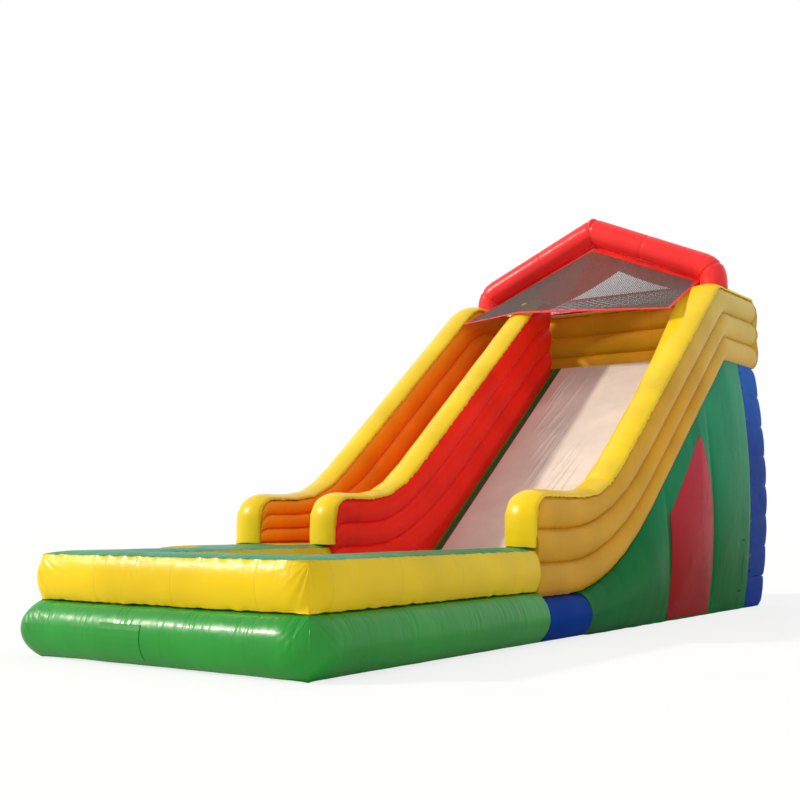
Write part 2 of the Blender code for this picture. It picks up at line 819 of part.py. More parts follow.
def pool_tube(prefix, section, low, high, colour):
    fold = seam_gap / 2
    across = [(a, z) for a, z in ((skin, low + skin), (pool_wall_width - skin, low + skin),
                                  (pool_wall_width - skin, high - skin), (skin, high - skin))]
    front = [[(pool_left_seam_x + a + fold, a, z) for a, z in section],
             [(half_width - a - fold, a, z) for a, z in section]]
    right = [[(half_width - a, a + fold, z) for a, z in section], [(half_width - a, butt_y, z) for a, z in section]]
    left = [[(pool_left_seam_x + a, a + fold, z) for a, z in section],
            [(pool_left_seam_x + a, butt_y, z) for a, z in section]]
    front_item = loft(prefix + "_front", [front], colour)
    hollow(front_item, [[(pool_left_seam_x + a + fold_skin, a, z) for a, z in across],
                        [(half_width - a - fold_skin, a, z) for a, z in across]])
    right_item = loft(prefix + "_right", [right], colour)
    hollow(right_item, [[(half_width - a, a + fold_skin, z) for a, z in across],
                        [(half_width - a, butt_y - skin, z) for a, z in across]])
    left_item = loft(prefix + "_left", [left], colour)
    hollow(left_item, [[(pool_left_seam_x + a, a + fold_skin, z) for a, z in across],
                       [(pool_left_seam_x + a, butt_y - skin, z) for a, z in across]])
    middle = pool_wall_width / 2
    port(prefix + "_right", front_item, right_item, half_width - middle, middle, (low + high) / 2)
    port(prefix + "_left", front_item, left_item, pool_left_seam_x + middle, middle, (low + high) / 2)
    return front_item, right_item, left_item


lower_front, lower_right, lower_left = pool_tube("pool_lower", lower_section(), 0.0, lower_height, greens)
upper_front, upper_right, upper_left = pool_tube("pool_upper", upper_section(), lower_height, upper_top, yellows)

# Pool floor mat, wider behind the pool walls
mat_outline = [
    (pool_inner_left + seam_gap, pool_wall_width + seam_gap),
    (pool_inner_right - seam_gap, pool_wall_width + seam_gap),
    (pool_inner_right - seam_gap, wall_front_y),
    (lane_right, wall_front_y),
    (lane_right, foot_y - foot_blend - seam_gap),
    (lane_left, foot_y - foot_blend - seam_gap),
    (lane_left, wall_front_y),
    (pool_inner_left + seam_gap, wall_front_y),
]
loft("pool_floor", [[[(x, y, z) for x, y in mat_outline] for z in (0.0, floor_thickness - seam_gap)]], blues)

# Entry block and its two steps
entry_right_low = pool_left_seam_x - lower_bulge - seam_gap
entry_right_high = pool_left_seam_x - upper_bulge - seam_gap


def entry_rings(low, high, bulge, right_x, crown):
    section = [(-half_width - off, z) for off, z in arc(low, high, bulge, 8)]
    section += [(-half_width + (right_x + half_width) * share, high + crown * 4 * share * (1 - share))
                for share in even(0.0, 1.0, 4)]
    section += [(right_x, low)]
    return [[(x, y, z) for x, z in section] for y in (entry_front_y, butt_y)]


entry_lower = loft("entry_lower", [entry_rings(0.0, lower_height, lower_bulge, entry_right_low, 0.0)], greens)
hollow_box(entry_lower, -half_width, entry_right_low, entry_front_y, butt_y, 0.0, lower_height)
entry_upper = loft("entry_upper", [entry_rings(lower_height + seam_gap, upper_top, upper_bulge, entry_right_high,
                                               wall_crown)], yellows)
hollow_box(entry_upper, -half_width, entry_right_high, entry_front_y, butt_y, lower_height + seam_gap, upper_top)

# Ports between the chambers, from the inlet's rear wall to the pool
side_x = (inner_x + half_width) / 2
ramp_x = (pool_left_seam_x + climb_right) / 2
top_y = (rise_end_y + rise_end_blend + rear_front_y) / 2
for side, label, panel, wall in ((1, "right", side_right, wall_right), (-1, "left", side_left, wall_left)):
    port("rear_" + label, rear_wall, panel, side * side_x, rear_front_y, row_one_z + port_width)
    port("band_" + label, panel, bands[label], side * side_x, panel_start_y, row_one_z / 2)
    port("wall_" + label, panel, wall, side * side_x, top_y, row_one_z + rise_height)
port("band_pool", bands["right"], lower_right, side_x, wall_front_y, row_one_z / 2)
port("band_entry", bands["left"], entry_lower, -side_x, wall_front_y, row_one_z / 2)
port("entry", entry_lower, entry_upper, -side_x, (entry_front_y + butt_y) / 2, lower_height)
port("pool_rows", lower_right, upper_right, half_width - pool_wall_width / 2, wall_front_y / 2, lower_height)
port("ramp_pool", climb_ramp, lower_left, ramp_x, wall_front_y, lower_height / 2)
port("back", rear_wall, wall_back, 0.0, back_seam_y - wall_width / 2, row_one_z + rise_height)
port("deck", platform_base, platform_deck, 0.0, (lip_y + rear_front_y) / 2, deck_z - deck_thickness)
port("base", platform_base, rear_wall, 0.0, rear_front_y, wall_top_z)
port("bed", slide_bed, platform_base, (lane_left + lane_right) / 2, lip_y, wall_top_z)
port("ramp", climb_ramp, platform_base, (climb_left + climb_right) / 2, lip_y, wall_top_z)
port("divider", divider, slide_bed, divider_right, (crease_one_y + crease_two_y) / 2, row_one_z)
for k, label in ((1, "high"), (2, "low")):
    back = entry_front_y - (k - 1) * (step_tread + seam_gap) - seam_gap
    front = back - step_tread + step_bulge
    height = step_rise * (3 - k)
    profile = [(front - off, z) for off, z in arc(0.0, height, step_bulge, 6)]
    profile += [(front, height), ((front + back) / 2, height + step_bulge / 2), (back, height), (back, 0.0)]
    loft("entry_step_" + label, [[[(x, y, z) for y, z in profile] for x in (-half_width, entry_right_low)]], blues)

# Cover sheet on the slide and the two strips that edge it
strip_left = lane_left + inner_bulge + row_margin
strip_right = lane_right - inner_bulge - row_margin


def lining(name, x_low, x_high, thickness, colour):
    rings = []
    for y in bed_stations[1:]:
        low = bed_top(y) + seam_gap
        rings.append([(x_low, y, low), (x_high, y, low), (x_high, y, low + thickness), (x_low, y, low + thickness)])
    return loft(name, [rings], colour)


lining("slide_edge_left", strip_left, strip_left + edge_strip_width, edge_strip_thickness, teals)
lining("slide_edge_right", strip_right - edge_strip_width, strip_right, edge_strip_thickness, teals)
lining("slide_cover", strip_left + edge_strip_width + seam_gap, strip_right - edge_strip_width - seam_gap,
       cover_thickness, whites)

# Arch: two legs and rafters that meet at the peak
bend_turn = math.pi / 2 - math.atan(rafter_fall)
tangent = elbow_radius * math.tan(bend_turn / 2)
elbow_z = peak_z - rafter_fall * wall_x
section_count = 16


def arch_side(side, label):
    turns = [2 * math.pi * k / section_count for k in range(section_count)]

    def ring(centre_x, centre_z, angle):
        """A section whose plane is square to a path that leans in by the angle from upright."""
        points = []
        for turn in turns:
            across = arch_radius * math.cos(turn)
            points.append((side * (centre_x + across * math.cos(angle)), arch_y + arch_radius * math.sin(turn),
                           centre_z + across * math.sin(angle)))
        return points

    rim_top = plateau_z + seam_gap
    foot = []
    for x, y, _ in ring(wall_x, 0.0, 0.0):
        across = min(rim_half, abs(abs(x) - wall_x))
        foot.append((x, y, rim_top + rim_thickness - (rim_thickness - rim_edge) * (across / rim_half) ** 2))
    rings = [foot]
    start_z = elbow_z - tangent
    for k in range(6):
        angle = bend_turn * k / 5
        rings.append(ring(wall_x - elbow_radius * (1 - math.cos(angle)), start_z + elbow_radius * math.sin(angle), angle))
    peak = []
    for x, y, z in rings[-1]:
        run = abs(x) - seam_gap / 2
        peak.append((side * seam_gap / 2, y, z + run * rafter_fall))
    rings.append(peak)

    name = "arch_" + label
    mesh = bpy.data.meshes.new(name)
    shape = bmesh.new()
    rows = [[shape.verts.new(place(*point)) for point in points] for points in rings]
    for near, far in zip(rows, rows[1:]):
        for i in range(section_count):
            j = (i + 1) % section_count
            shape.faces.new((near[i], near[j], far[j], far[i]))
    shape.faces.new(rows[-1])
    half = section_count // 2
    for k in range(half):
        corners = [rows[0][k], rows[0][k + 1], rows[0][(section_count - k - 1) % section_count],
                   rows[0][(section_count - k) % section_count]]
        unique = list(dict.fromkeys(corners))
        shape.faces.new(unique)
    bmesh.ops.recalc_face_normals(shape, faces=shape.faces)
    shape.to_mesh(mesh)
    shape.free()
    return finish(name, mesh, reds)


arch_side(1, "right")
arch_side(-1, "left")

# Front net, hung from the rafters and drawn down to the walls, with its red binding
rafter_under = arch_radius / math.cos(math.atan(rafter_fall))


def net_low_z(x):
    if x < divider_x:
        share = (x + net_half_span) / (divider_x + net_half_span)
        return net_low_left_z + (net_low_divider_z - net_low_left_z) * share
    share = (x - divider_x) / (net_half_span - divider_x)
    return net_low_divider_z + (net_low_right_z - net_low_divider_z) * share


def net_point(x, share, lift):
    top = peak_z - rafter_under - rafter_fall * abs(x) - seam_gap - tape_thickness
    return (x, arch_y - net_drop_y * share, top + (net_low_z(x) - top) * share + lift)


def bars_across(low, high, gaps, width):
    """Edges of bars and gaps between low and high, starting and ending with a bar."""
    pitch = (high - low - width) / gaps
    edges = []
    for k in range(gaps + 1):
        edges += [low + pitch * k, low + pitch * k + width]
    return edges


side_tape = low_tape
net_columns = bars_across(-net_half_span + side_tape + seam_gap, net_half_span - side_tape - seam_gap, 16, strand)
top_share = top_tape / net_drop_y
low_share = low_tape / net_drop_y
gap_share = seam_gap / net_drop_y
net_rows = bars_across(top_share + gap_share, 1 - low_share - gap_share, 8, strand / net_drop_y)


def open_mesh(i, j):
    return i % 2 == 0 or j % 2 == 0


def net_sheet(columns, rows, thickness, base):
    tops = [[net_point(x, v, base + thickness) for v in rows] for x in columns]
    lows = [[net_point(x, v, base) for v in rows] for x in columns]
    return tops, lows


net_base = (tape_thickness - net_thickness) / 2
net_tops, net_lows = net_sheet(net_columns, net_rows, net_thickness, net_base)
grid_solid("front_net", net_tops, net_lows, open_mesh, greys)

frame_columns = [-net_half_span, -net_half_span + side_tape, divider_x, 0.0, net_half_span - side_tape, net_half_span]
frame_rows = [0.0, top_share, 1 - low_share, 1.0]
frame_tops, frame_lows = net_sheet(frame_columns, frame_rows, tape_thickness, 0.0)


def frame_cell(i, j):
    return i in (0, 4) or j in (0, 2)


grid_solid("front_net_binding", frame_tops, frame_lows, frame_cell, reds)

# Roof sheet from the back of the arch to the rear corners
roof_span = roof_half_rear - roof_mid_x
roof_curve = ((roof_ridge_z - roof_eave_z) * roof_mid_x - (roof_ridge_z - roof_mid_z) * roof_half_rear)
roof_curve = -roof_curve / (roof_mid_x * roof_half_rear * roof_span)
roof_slope = (roof_ridge_z - roof_mid_z) / roof_mid_x + roof_curve * roof_mid_x


def roof_point(share_x, share_y, lift):
    x_front = roof_half_front * share_x
    x_rear = roof_half_rear * share_x
    front_z = peak_z - rafter_fall * abs(x_front)
    rear_z = roof_ridge_z - roof_slope * abs(x_rear) + roof_curve * x_rear ** 2
    start_y = arch_y + arch_radius + seam_gap
    x = x_front + (x_rear - x_front) * share_y
    y = start_y + (roof_rear_y - start_y) * share_y
    fold = roof_fold * math.sin(10 * math.pi * abs(share_x)) * math.sin(math.pi * share_y) * (1 - abs(share_x))
    return (x, y, front_z + (rear_z - front_z) * share_y + fold + lift)


roof_shares_x = even(-1.0, 1.0, 28)
roof_shares_y = even(0.0, 1.0, 6)
roof_tops = [[roof_point(a, b, roof_thickness / 2) for b in roof_shares_y] for a in roof_shares_x]
roof_lows = [[roof_point(a, b, -roof_thickness / 2) for b in roof_shares_y] for a in roof_shares_x]
grid_solid("roof_sheet", roof_tops, roof_lows, lambda i, j: True, reds)

# Rear net, standing on the back rim
rear_net_y = back_seam_y - wall_width / 2
rear_net_low = plateau_z + rim_thickness + seam_gap


def upright(columns, rows, thickness):
    back = [[(x, rear_net_y + thickness / 2, z) for z in rows] for x in columns]
    front = [[(x, rear_net_y - thickness / 2, z) for z in rows] for x in columns]
    return back, front


rear_columns = bars_across(-rear_net_half_span + rear_tape + seam_gap, rear_net_half_span - rear_tape - seam_gap,
                           20, strand)
rear_rows = bars_across(rear_net_low + rear_tape + seam_gap, rear_net_low + rear_net_height - rear_tape - seam_gap,
                        2, strand / 2)
back_points, front_points = upright(rear_columns, rear_rows, net_thickness)
grid_solid("rear_net", back_points, front_points, open_mesh, greys)
rear_frame_x = [-rear_net_half_span, -rear_net_half_span + rear_tape, rear_net_half_span - rear_tape, rear_net_half_span]
rear_frame_z = [rear_net_low, rear_net_low + rear_tape, rear_net_low + rear_net_height - rear_tape,
                rear_net_low + rear_net_height]
back_points, front_points = upright(rear_frame_x, rear_frame_z, tape_thickness)
grid_solid("rear_net_binding", back_points, front_points, lambda i, j: i != 1 or j != 1, reds)


# Front deflation closure, following the facets of the lower tube
tube_radius = (lower_height ** 2 / 4 + lower_bulge ** 2) / (2 * lower_bulge)
tube_half = math.asin(lower_height / 2 / tube_radius)
facet_turn = 2 * tube_half / lower_steps
facet_half = math.cos(facet_turn / 2)


def tube_point(turn, off):
    """Place on the lower front tube at a turn up from level, lifted by off."""
    reach = tube_radius + off / facet_half
    return (-(reach * math.cos(turn) - tube_radius + lower_bulge), lower_height / 2 + reach * math.sin(turn))


zip_facet = 6
groove_turn = -tube_half + facet_turn * (zip_facet + 0.5)


def facet_frame(across, off):
    """Place on the grooved facet: across upwards from its middle, off outwards."""
    apothem = tube_radius * facet_half + off
    y = -(apothem * math.cos(groove_turn) - tube_radius + lower_bulge) + across * math.sin(groove_turn)
    z = lower_height / 2 + apothem * math.sin(groove_turn) + across * math.cos(groove_turn)
    return (y, z)


def facet_box(low_across, high_across, low_off, high_off, x_low, x_high):
    corners = ((low_across, low_off), (high_across, low_off), (high_across, high_off), (low_across, high_off))
    return [[(x, *facet_frame(a, b)) for a, b in corners] for x in (x_low, x_high)]


zip_right_x = zip_left_x + zip_length
half_groove = groove_width / 2
groove = loft("groove_cutter", [facet_box(-half_groove, half_groove, -groove_depth, cut_overrun,
                                          zip_left_x + end_margin, zip_right_x - end_margin)], greys)
cut(lower_front, groove)
strip_low = -groove_depth + seam_gap
strip_high = strip_low + tape_strip
ridge_high = strip_high + tape_strip
chain = facet_box(seam_gap - half_groove, half_groove - seam_gap, strip_low, strip_high,
                  zip_left_x + end_margin + seam_gap, zip_right_x - end_margin - seam_gap)
ridge = facet_box(-teeth_width / 2, teeth_width / 2, strip_high, ridge_high,
                  zip_left_x + 2 * end_margin, zip_right_x - 2 * end_margin)


def joined_strip(name, lower, upper, colour):
    """A strip with a raised ridge, as one body."""
    mesh = bpy.data.meshes.new(name)
    shape = bmesh.new()
    a, b = lower
    c, d = upper
    bottom = [shape.verts.new(place(*p)) for p in (a[0], a[1], b[1], b[0])]
    shoulder = [shape.verts.new(place(*p)) for p in (a[3], a[2], b[2], b[3])]
    foot = [shape.verts.new(place(*p)) for p in (c[0], c[1], d[1], d[0])]
    crest = [shape.verts.new(place(*p)) for p in (c[3], c[2], d[2], d[3])]
    for low, high in ((bottom, shoulder), (shoulder, foot), (foot, crest)):
        for i in range(4):
            j = (i + 1) % 4
            shape.faces.new((low[i], low[j], high[j], high[i]))
    shape.faces.new(bottom)
    shape.faces.new(crest)
    bmesh.ops.recalc_face_normals(shape, faces=shape.faces)
    shape.to_mesh(mesh)
    shape.free()
    return finish(name, mesh, colour)


joined_strip("front_zip_chain", chain, ridge, blacks)
slider_low = ridge_high + seam_gap
slider_x = zip_left_x + 2 * end_margin
loft("front_zip_slider", [facet_box(-slider_width / 2, slider_width / 2, slider_low, slider_low + slider_height,
                                    slider_x, slider_x + slider_length)], blacks)


def facet_sheet(first, last, low_off, high_off):
    turns = [-tube_half + facet_turn * k for k in range(first, last + 1)]
    outline = [tube_point(turn, high_off) for turn in turns]
    outline += [tube_point(turn, low_off) for turn in reversed(turns)]
    return [[(x, y, z) for y, z in outline] for x in (zip_left_x, zip_right_x)]


flap_top_facet = zip_facet + 1
loft("front_flap", [facet_sheet(2, flap_top_facet, seam_gap, seam_gap + flap_thickness)], greens)
hem = facet_sheet(flap_top_facet, flap_top_facet + 1, seam_gap, seam_gap + flap_thickness)
hem = [[(x, y, z + seam_gap) for x, y, z in ring] for ring in hem]
loft("front_flap_hem", [hem], greens)

# Side deflation closure, in a shallow pocket of the right side panel
low_x = panel_x(side_zip_y, side_zip_low)
high_x = panel_x(side_zip_y, side_zip_high)
zip_up = Vector((high_x - low_x, 0.0, side_zip_high - side_zip_low))
side_length = zip_up.length
zip_up.normalize()
zip_out = Vector((zip_up.z, 0.0, -zip_up.x))
zip_mid = Vector(((low_x + high_x) / 2, side_zip_y, (side_zip_low + side_zip_high) / 2))


def side_box(y_low, y_high, up_low, up_high, out_low, out_high):
    rings = []
    for up in (up_low, up_high):
        ring = []
        for across, out in ((y_low, out_low), (y_high, out_low), (y_high, out_high), (y_low, out_high)):
            point = zip_mid + zip_up * up + zip_out * out
            ring.append((point.x, point.y + across, point.z))
        rings.append(ring)
    return rings


half_flap = side_flap_width / 2
half_length = side_length / 2
pocket = loft("pocket_cutter", [side_box(-half_flap - seam_gap, half_flap + seam_gap, -half_length, half_length,
                                         -side_pocket_depth, cut_overrun)], greys)
cut(side_right, pocket)
chain_low = seam_gap - side_pocket_depth
chain_high = chain_low + tape_strip
teeth_high = chain_high + tape_strip
joined_strip("side_zip_chain",
             side_box(-groove_width / 2, groove_width / 2, end_margin - half_length, half_length - end_margin,
                      chain_low, chain_high),
             side_box(-teeth_width / 2, teeth_width / 2, 2 * end_margin - half_length, half_length - 2 * end_margin,
                      chain_high, teeth_high), blacks)
side_slider_low = teeth_high + seam_gap
slider_up = half_length - 2 * end_margin - slider_length
loft("side_zip_slider", [side_box(-slider_width / 2, slider_width / 2, slider_up, slider_up + slider_length,
                                  side_slider_low, side_slider_low + slider_height)], blacks)
loft("side_flap", [side_box(-half_flap, half_flap, end_margin - half_length, half_length - end_margin,
                            -flap_thickness, 0.0)], greens)

print("overall", half_width * 2 + lower_bulge * 2, rear_reach_y + lower_bulge, "middle", middle_y, "deck", deck_z)
print("flap hinge", tube_point(-tube_half + facet_turn * flap_top_facet, seam_gap + flap_thickness))
print("groove", facet_frame(0.0, slider_low), "side zip", zip_mid, zip_up, zip_out)
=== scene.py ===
# %% [markdown]
# # Inflatable water slide
# The slide is a set of air chambers sewn from coated cloth: a paddling pool in front, a slide lane and a climbing
# lane between padded walls, a platform behind them and a tent-shaped arch with nets on top.
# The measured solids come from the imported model. Every cloth piece is then remade here as what it is, a skin that
# air pushes out between its seams, so that the walls get soft rows, puckers and shine.

# %% Load the frame
import math
from contextlib import contextmanager

import bpy
import bmesh
import numpy as np
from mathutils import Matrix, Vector, noise
from mathutils.bvhtree import BVHTree


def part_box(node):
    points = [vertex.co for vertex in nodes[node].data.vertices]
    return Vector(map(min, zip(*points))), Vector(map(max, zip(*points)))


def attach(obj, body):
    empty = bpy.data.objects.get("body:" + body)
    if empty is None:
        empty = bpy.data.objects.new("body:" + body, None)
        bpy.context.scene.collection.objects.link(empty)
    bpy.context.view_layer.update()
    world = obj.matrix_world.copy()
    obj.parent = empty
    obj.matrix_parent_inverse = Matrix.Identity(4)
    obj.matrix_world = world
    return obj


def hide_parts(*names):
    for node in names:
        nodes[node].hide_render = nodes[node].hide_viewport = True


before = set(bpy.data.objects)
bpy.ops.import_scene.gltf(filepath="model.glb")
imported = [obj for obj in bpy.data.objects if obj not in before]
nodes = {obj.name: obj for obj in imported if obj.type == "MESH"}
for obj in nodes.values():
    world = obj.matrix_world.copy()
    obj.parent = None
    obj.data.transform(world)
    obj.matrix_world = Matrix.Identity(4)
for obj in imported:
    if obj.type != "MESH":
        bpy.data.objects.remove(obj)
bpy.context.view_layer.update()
print("nodes in the frame:", len(nodes))

# %% [markdown]
# ## Shared measures
# The origin lies on the ground in the middle of the slide: x runs to the right, y to the back and z up. Lengths along
# the slide were taken from the seam at the pool's front, so middle_y is subtracted from them. All values are in metres.

# %% Shared measures
middle_y = 6.4833
front_seam_y = -middle_y
half_width = 2.475
pool_left_x = -1.395
lower_top_z, upper_top_z = 0.63, 1.13
print("slide between the outer seams:", 2 * half_width, "m wide")

# %% [markdown]
# ## The camera
# The photograph was taken by someone standing to the right of the pool, holding the camera at eye level and looking
# slightly up. Place, lens and tilt were fitted to the slide's own edges, so the render can be laid over the photograph.

# %% Camera
camera_data = bpy.data.cameras.new("camera")
camera_data.lens = 53.73
camera_data.sensor_width = 36.0
camera = bpy.data.objects.new("camera", camera_data)
camera.location = (9.665, -15.183, 1.504)
camera.rotation_euler = (math.radians(95.75), 0.0, math.radians(35.27))
bpy.context.scene.collection.objects.link(camera)
bpy.context.scene.camera = camera
bpy.context.scene.view_settings.view_transform = "Standard"
print("camera at", tuple(round(v, 2) for v in camera.location))

# %% [markdown]
# ## Light
# A low, warm sun stood in front of the slide and to its left, so the fronts are bright and the right side is shaded.
# One sun lamp does that, a few degrees wide, so that its shadows have soft edges. The sky is a plain white world: what
# the camera and the reflections see has a strength of 1, and what lights the cloth is weaker.

# %% Sun and sky
sun_data = bpy.data.lights.new("sun", "SUN")
sun_data.energy = 2.25
sun_data.color = (1.0, 0.94, 0.80)
sun_data.angle = math.radians(4.0)
sun = bpy.data.objects.new("sun", sun_data)
sun.rotation_euler = Vector((-0.78, -0.64, 0.60)).to_track_quat("Z", "Y").to_euler()
bpy.context.scene.collection.objects.link(sun)
sky_strength = 0.64


def add(tree, kind, **values):
    """Add a node and set its inputs by name, or its settings where there is no such input."""
    node = tree.nodes.new(kind)
    for key, value in values.items():
        if key in node.inputs:
            node.inputs[key].default_value = value
        else:
            setattr(node, key, value)
    return node


world = bpy.data.worlds.new("sky")
bpy.context.scene.world = world
world.use_nodes = True
sky = world.node_tree
sky.nodes.clear()
ray = add(sky, "ShaderNodeLightPath")
seen = add(sky, "ShaderNodeMath", operation="MAXIMUM")
seen_clear = add(sky, "ShaderNodeMath", operation="MAXIMUM")
lift = add(sky, "ShaderNodeMapRange")
lift.inputs["To Min"].default_value = sky_strength
lift.inputs["To Max"].default_value = 1.0
back = add(sky, "ShaderNodeBackground", Color=(1.0, 1.0, 1.0, 1.0))
out = add(sky, "ShaderNodeOutputWorld")
link = sky.links.new
link(ray.outputs["Is Camera Ray"], seen.inputs[0])
link(ray.outputs["Is Glossy Ray"], seen.inputs[1])
link(seen.outputs[0], seen_clear.inputs[0])
link(ray.outputs["Is Transmission Ray"], seen_clear.inputs[1])
link(seen_clear.outputs[0], lift.inputs["Value"])
link(lift.outputs["Result"], back.inputs["Strength"])
link(back.outputs[0], out.inputs["Surface"])
print("sky strength on the cloth:", sky_strength)

# %% [markdown]
# ## The ground
# A big pale floor carries the slide and keeps its shadow. For the rays that the camera sees, part of the floor's
# colour is given as plain white, so that it runs into the white backdrop.

# %% Floor
white_share, white_strength = 0.75, 1.045


def new_material(name):
    """A material with its node tree and its Principled shader."""
    material = bpy.data.materials.new(name)
    material.use_nodes = True
    return material, material.node_tree, material.node_tree.nodes["Principled BSDF"]


bpy.ops.object.select_all(action="DESELECT")
bpy.ops.mesh.primitive_plane_add(size=160.0, location=(0.0, 0.0, -0.002))
floor = bpy.context.object
floor.name = "floor"
bpy.ops.object.transform_apply(location=True, rotation=True, scale=True)
ground, tree, shader = new_material("ground")
shader.inputs["Base Color"].default_value = (0.86, 0.86, 0.86, 1.0)
shader.inputs["Roughness"].default_value = 0.9
ray = add(tree, "ShaderNodeLightPath")
share = add(tree, "ShaderNodeMath", operation="MULTIPLY")
share.inputs[1].default_value = white_share
glow = add(tree, "ShaderNodeEmission", Strength=white_strength)
mix = add(tree, "ShaderNodeMixShader")
link = tree.links.new
link(ray.outputs["Is Camera Ray"], share.inputs[0])
link(share.outputs[0], mix.inputs["Fac"])
link(shader.outputs[0], mix.inputs[1])
link(glow.outputs[0], mix.inputs[2])
link(mix.outputs[0], tree.nodes["Material Output"].inputs["Surface"])
floor.data.materials.append(ground)
print("floor is staged")

# %% [markdown]
# ## The coated cloth
# Inflatables are sewn from PVC-coated polyester: glossy, evenly coloured, a little dirtier in the seams, and full of
# small folds that run away from each seam. Painted shade darkens the seams too, where the hollows between the rows
# are, and a painted sky sheen makes some cloths lighter towards the top. The material reads two numbers that are
# stored on every vertex: "seam", which is 1 on a sewn line and fades into the chamber, and "run", the distance along
# the piece, which places the welds between the panels of cloth.

# %% Tarpaulin


def shade(code):
    """The linear value of a colour written as three numbers from 0 to 255."""
    return tuple(((v / 255 + 0.055) / 1.055) ** 2.4 if v > 10 else v / 255 / 12.92 for v in code) + (1.0,)


def clouds(tree, place, **values):
    """Noise that stays fixed to the piece, as a number from 0 to 1."""
    node = add(tree, "ShaderNodeTexNoise", **values)
    tree.links.new(place.outputs["Object"], node.inputs["Vector"])
    return node.outputs["Fac"]


def remap(tree, source, to_low, to_high, from_low=0.0, from_high=1.0):
    """Turn a number from one range into another."""
    node = tree.nodes.new("ShaderNodeMapRange")
    node.inputs["From Min"].default_value = from_low
    node.inputs["From Max"].default_value = from_high
    node.inputs["To Min"].default_value = to_low
    node.inputs["To Max"].default_value = to_high
    tree.links.new(source, node.inputs["Value"])
    return node.outputs["Result"]


def combine(tree, operation, first, second):
    """Add or multiply two numbers that change over the surface."""
    node = add(tree, "ShaderNodeMath", operation=operation)
    tree.links.new(first, node.inputs[0])
    tree.links.new(second, node.inputs[1])
    return node.outputs[0]


def tarpaulin(name, colour, weld=1.15, edge=0.84, shine=0.28, folds_depth=0.35, high=None, fade=(0.8, 3.4)):
    """A coated cloth. With a high colour it fades to that between two heights: a painted sky sheen that makes the top
    lighter.
    """
    material, tree, shader = new_material(name)
    link = tree.links.new
    shader.inputs["Coat Weight"].default_value = shine / 3
    shader.inputs["Coat Roughness"].default_value = 0.10
    shader.inputs["Specular IOR Level"].default_value = shine
    place = add(tree, "ShaderNodeTexCoord")
    seam = add(tree, "ShaderNodeAttribute", attribute_name="seam").outputs["Fac"]
    run = add(tree, "ShaderNodeAttribute", attribute_name="run").outputs["Fac"]
    # broad clouding of the colour, from wear and from light through the cloth
    tint = remap(tree, clouds(tree, place, Scale=1.3, Detail=1.0, Roughness=0.4), 0.90, 1.07, 0.3, 0.7)
    # dirt that gathers in the sewn lines, and painted shade in the hollows between the rows there
    seam_dirt_and_shade = remap(tree, seam, 1.0, edge, 0.72, 1.0)
    # one weld across the chamber every so often
    turns = add(tree, "ShaderNodeMath", operation="DIVIDE")
    turns.inputs[1].default_value = weld
    link(run, turns.inputs[0])
    part = add(tree, "ShaderNodeMath", operation="PINGPONG")
    part.inputs[1].default_value = 0.5
    link(turns.outputs[0], part.inputs[0])
    line = remap(tree, part.outputs[0], 0.90, 1.0, 0.0, 0.011)
    colour_mix = add(tree, "ShaderNodeMix", data_type="RGBA", blend_type="MULTIPLY")
    colour_mix.inputs["Factor"].default_value = 1.0
    colour_mix.inputs[6].default_value = shade(colour)
    # painted sky sheen: the colour turns lighter towards the top, between the two heights of fade
    if high:
        apart = add(tree, "ShaderNodeSeparateXYZ")
        link(place.outputs["Object"], apart.inputs[0])
        painted_top_sheen = add(tree, "ShaderNodeMix", data_type="RGBA")
        painted_top_sheen.inputs[6].default_value = shade(colour)
        painted_top_sheen.inputs[7].default_value = shade(high)
        link(remap(tree, apart.outputs["Z"], 0.0, 1.0, *fade), painted_top_sheen.inputs["Factor"])
        link(painted_top_sheen.outputs[2], colour_mix.inputs[6])
    # the clouding, the seams' dirt and painted shade, and the welds darken the colour together
    wear_and_shade = combine(tree, "MULTIPLY", combine(tree, "MULTIPLY", tint, seam_dirt_and_shade), line)
    link(wear_and_shade, colour_mix.inputs[7])
    link(colour_mix.outputs[2], shader.inputs["Base Color"])
    # gloss that changes with handling
    rub = clouds(tree, place, Scale=5.0, Detail=1.0, Roughness=0.5)
    link(remap(tree, rub, 0.22, 0.44), shader.inputs["Roughness"])
    # soft folds all over, short puckers near the seams, the welds' ridges and a fine woven grain
    folds = clouds(tree, place, Scale=4.5, Detail=2.0, Roughness=0.5)
    puckers = clouds(tree, place, Scale=17.0, Detail=2.0, Roughness=0.5)
    height = combine(tree, "ADD", folds, combine(tree, "MULTIPLY", puckers, seam))
    bump = add(tree, "ShaderNodeBump", Strength=folds_depth, Distance=0.02)
    link(combine(tree, "ADD", height, line), bump.inputs["Height"])
    weave = add(tree, "ShaderNodeBump", Strength=0.06, Distance=0.001)
    link(clouds(tree, place, Scale=420.0, Detail=1.0), weave.inputs["Height"])
    link(bump.outputs["Normal"], weave.inputs["Normal"])
    link(weave.outputs["Normal"], shader.inputs["Normal"])
    return material


yellow = tarpaulin("yellow_tarpaulin", (240, 203, 4), shine=0.2)
rim_yellow = tarpaulin("rim_tarpaulin", (246, 207, 8), edge=0.92, shine=0.24)
# the walls' outer cloth is the rims' yellow drawn darker and more ochre, as it looks in shade: painted shade
shaded_wall_yellow = tarpaulin("wall_tarpaulin", (220, 164, 44), shine=0.06, folds_depth=0.2, high=(222, 198, 104),
                        fade=(3.4, 5.8))
green = tarpaulin("green_tarpaulin", (30, 148, 46), edge=0.88, shine=0.3)
# the side panels' high colour is painted sky sheen
panel_green = tarpaulin("panel_tarpaulin", (20, 112, 54), shine=0.03, folds_depth=0.04, high=(44, 148, 108))
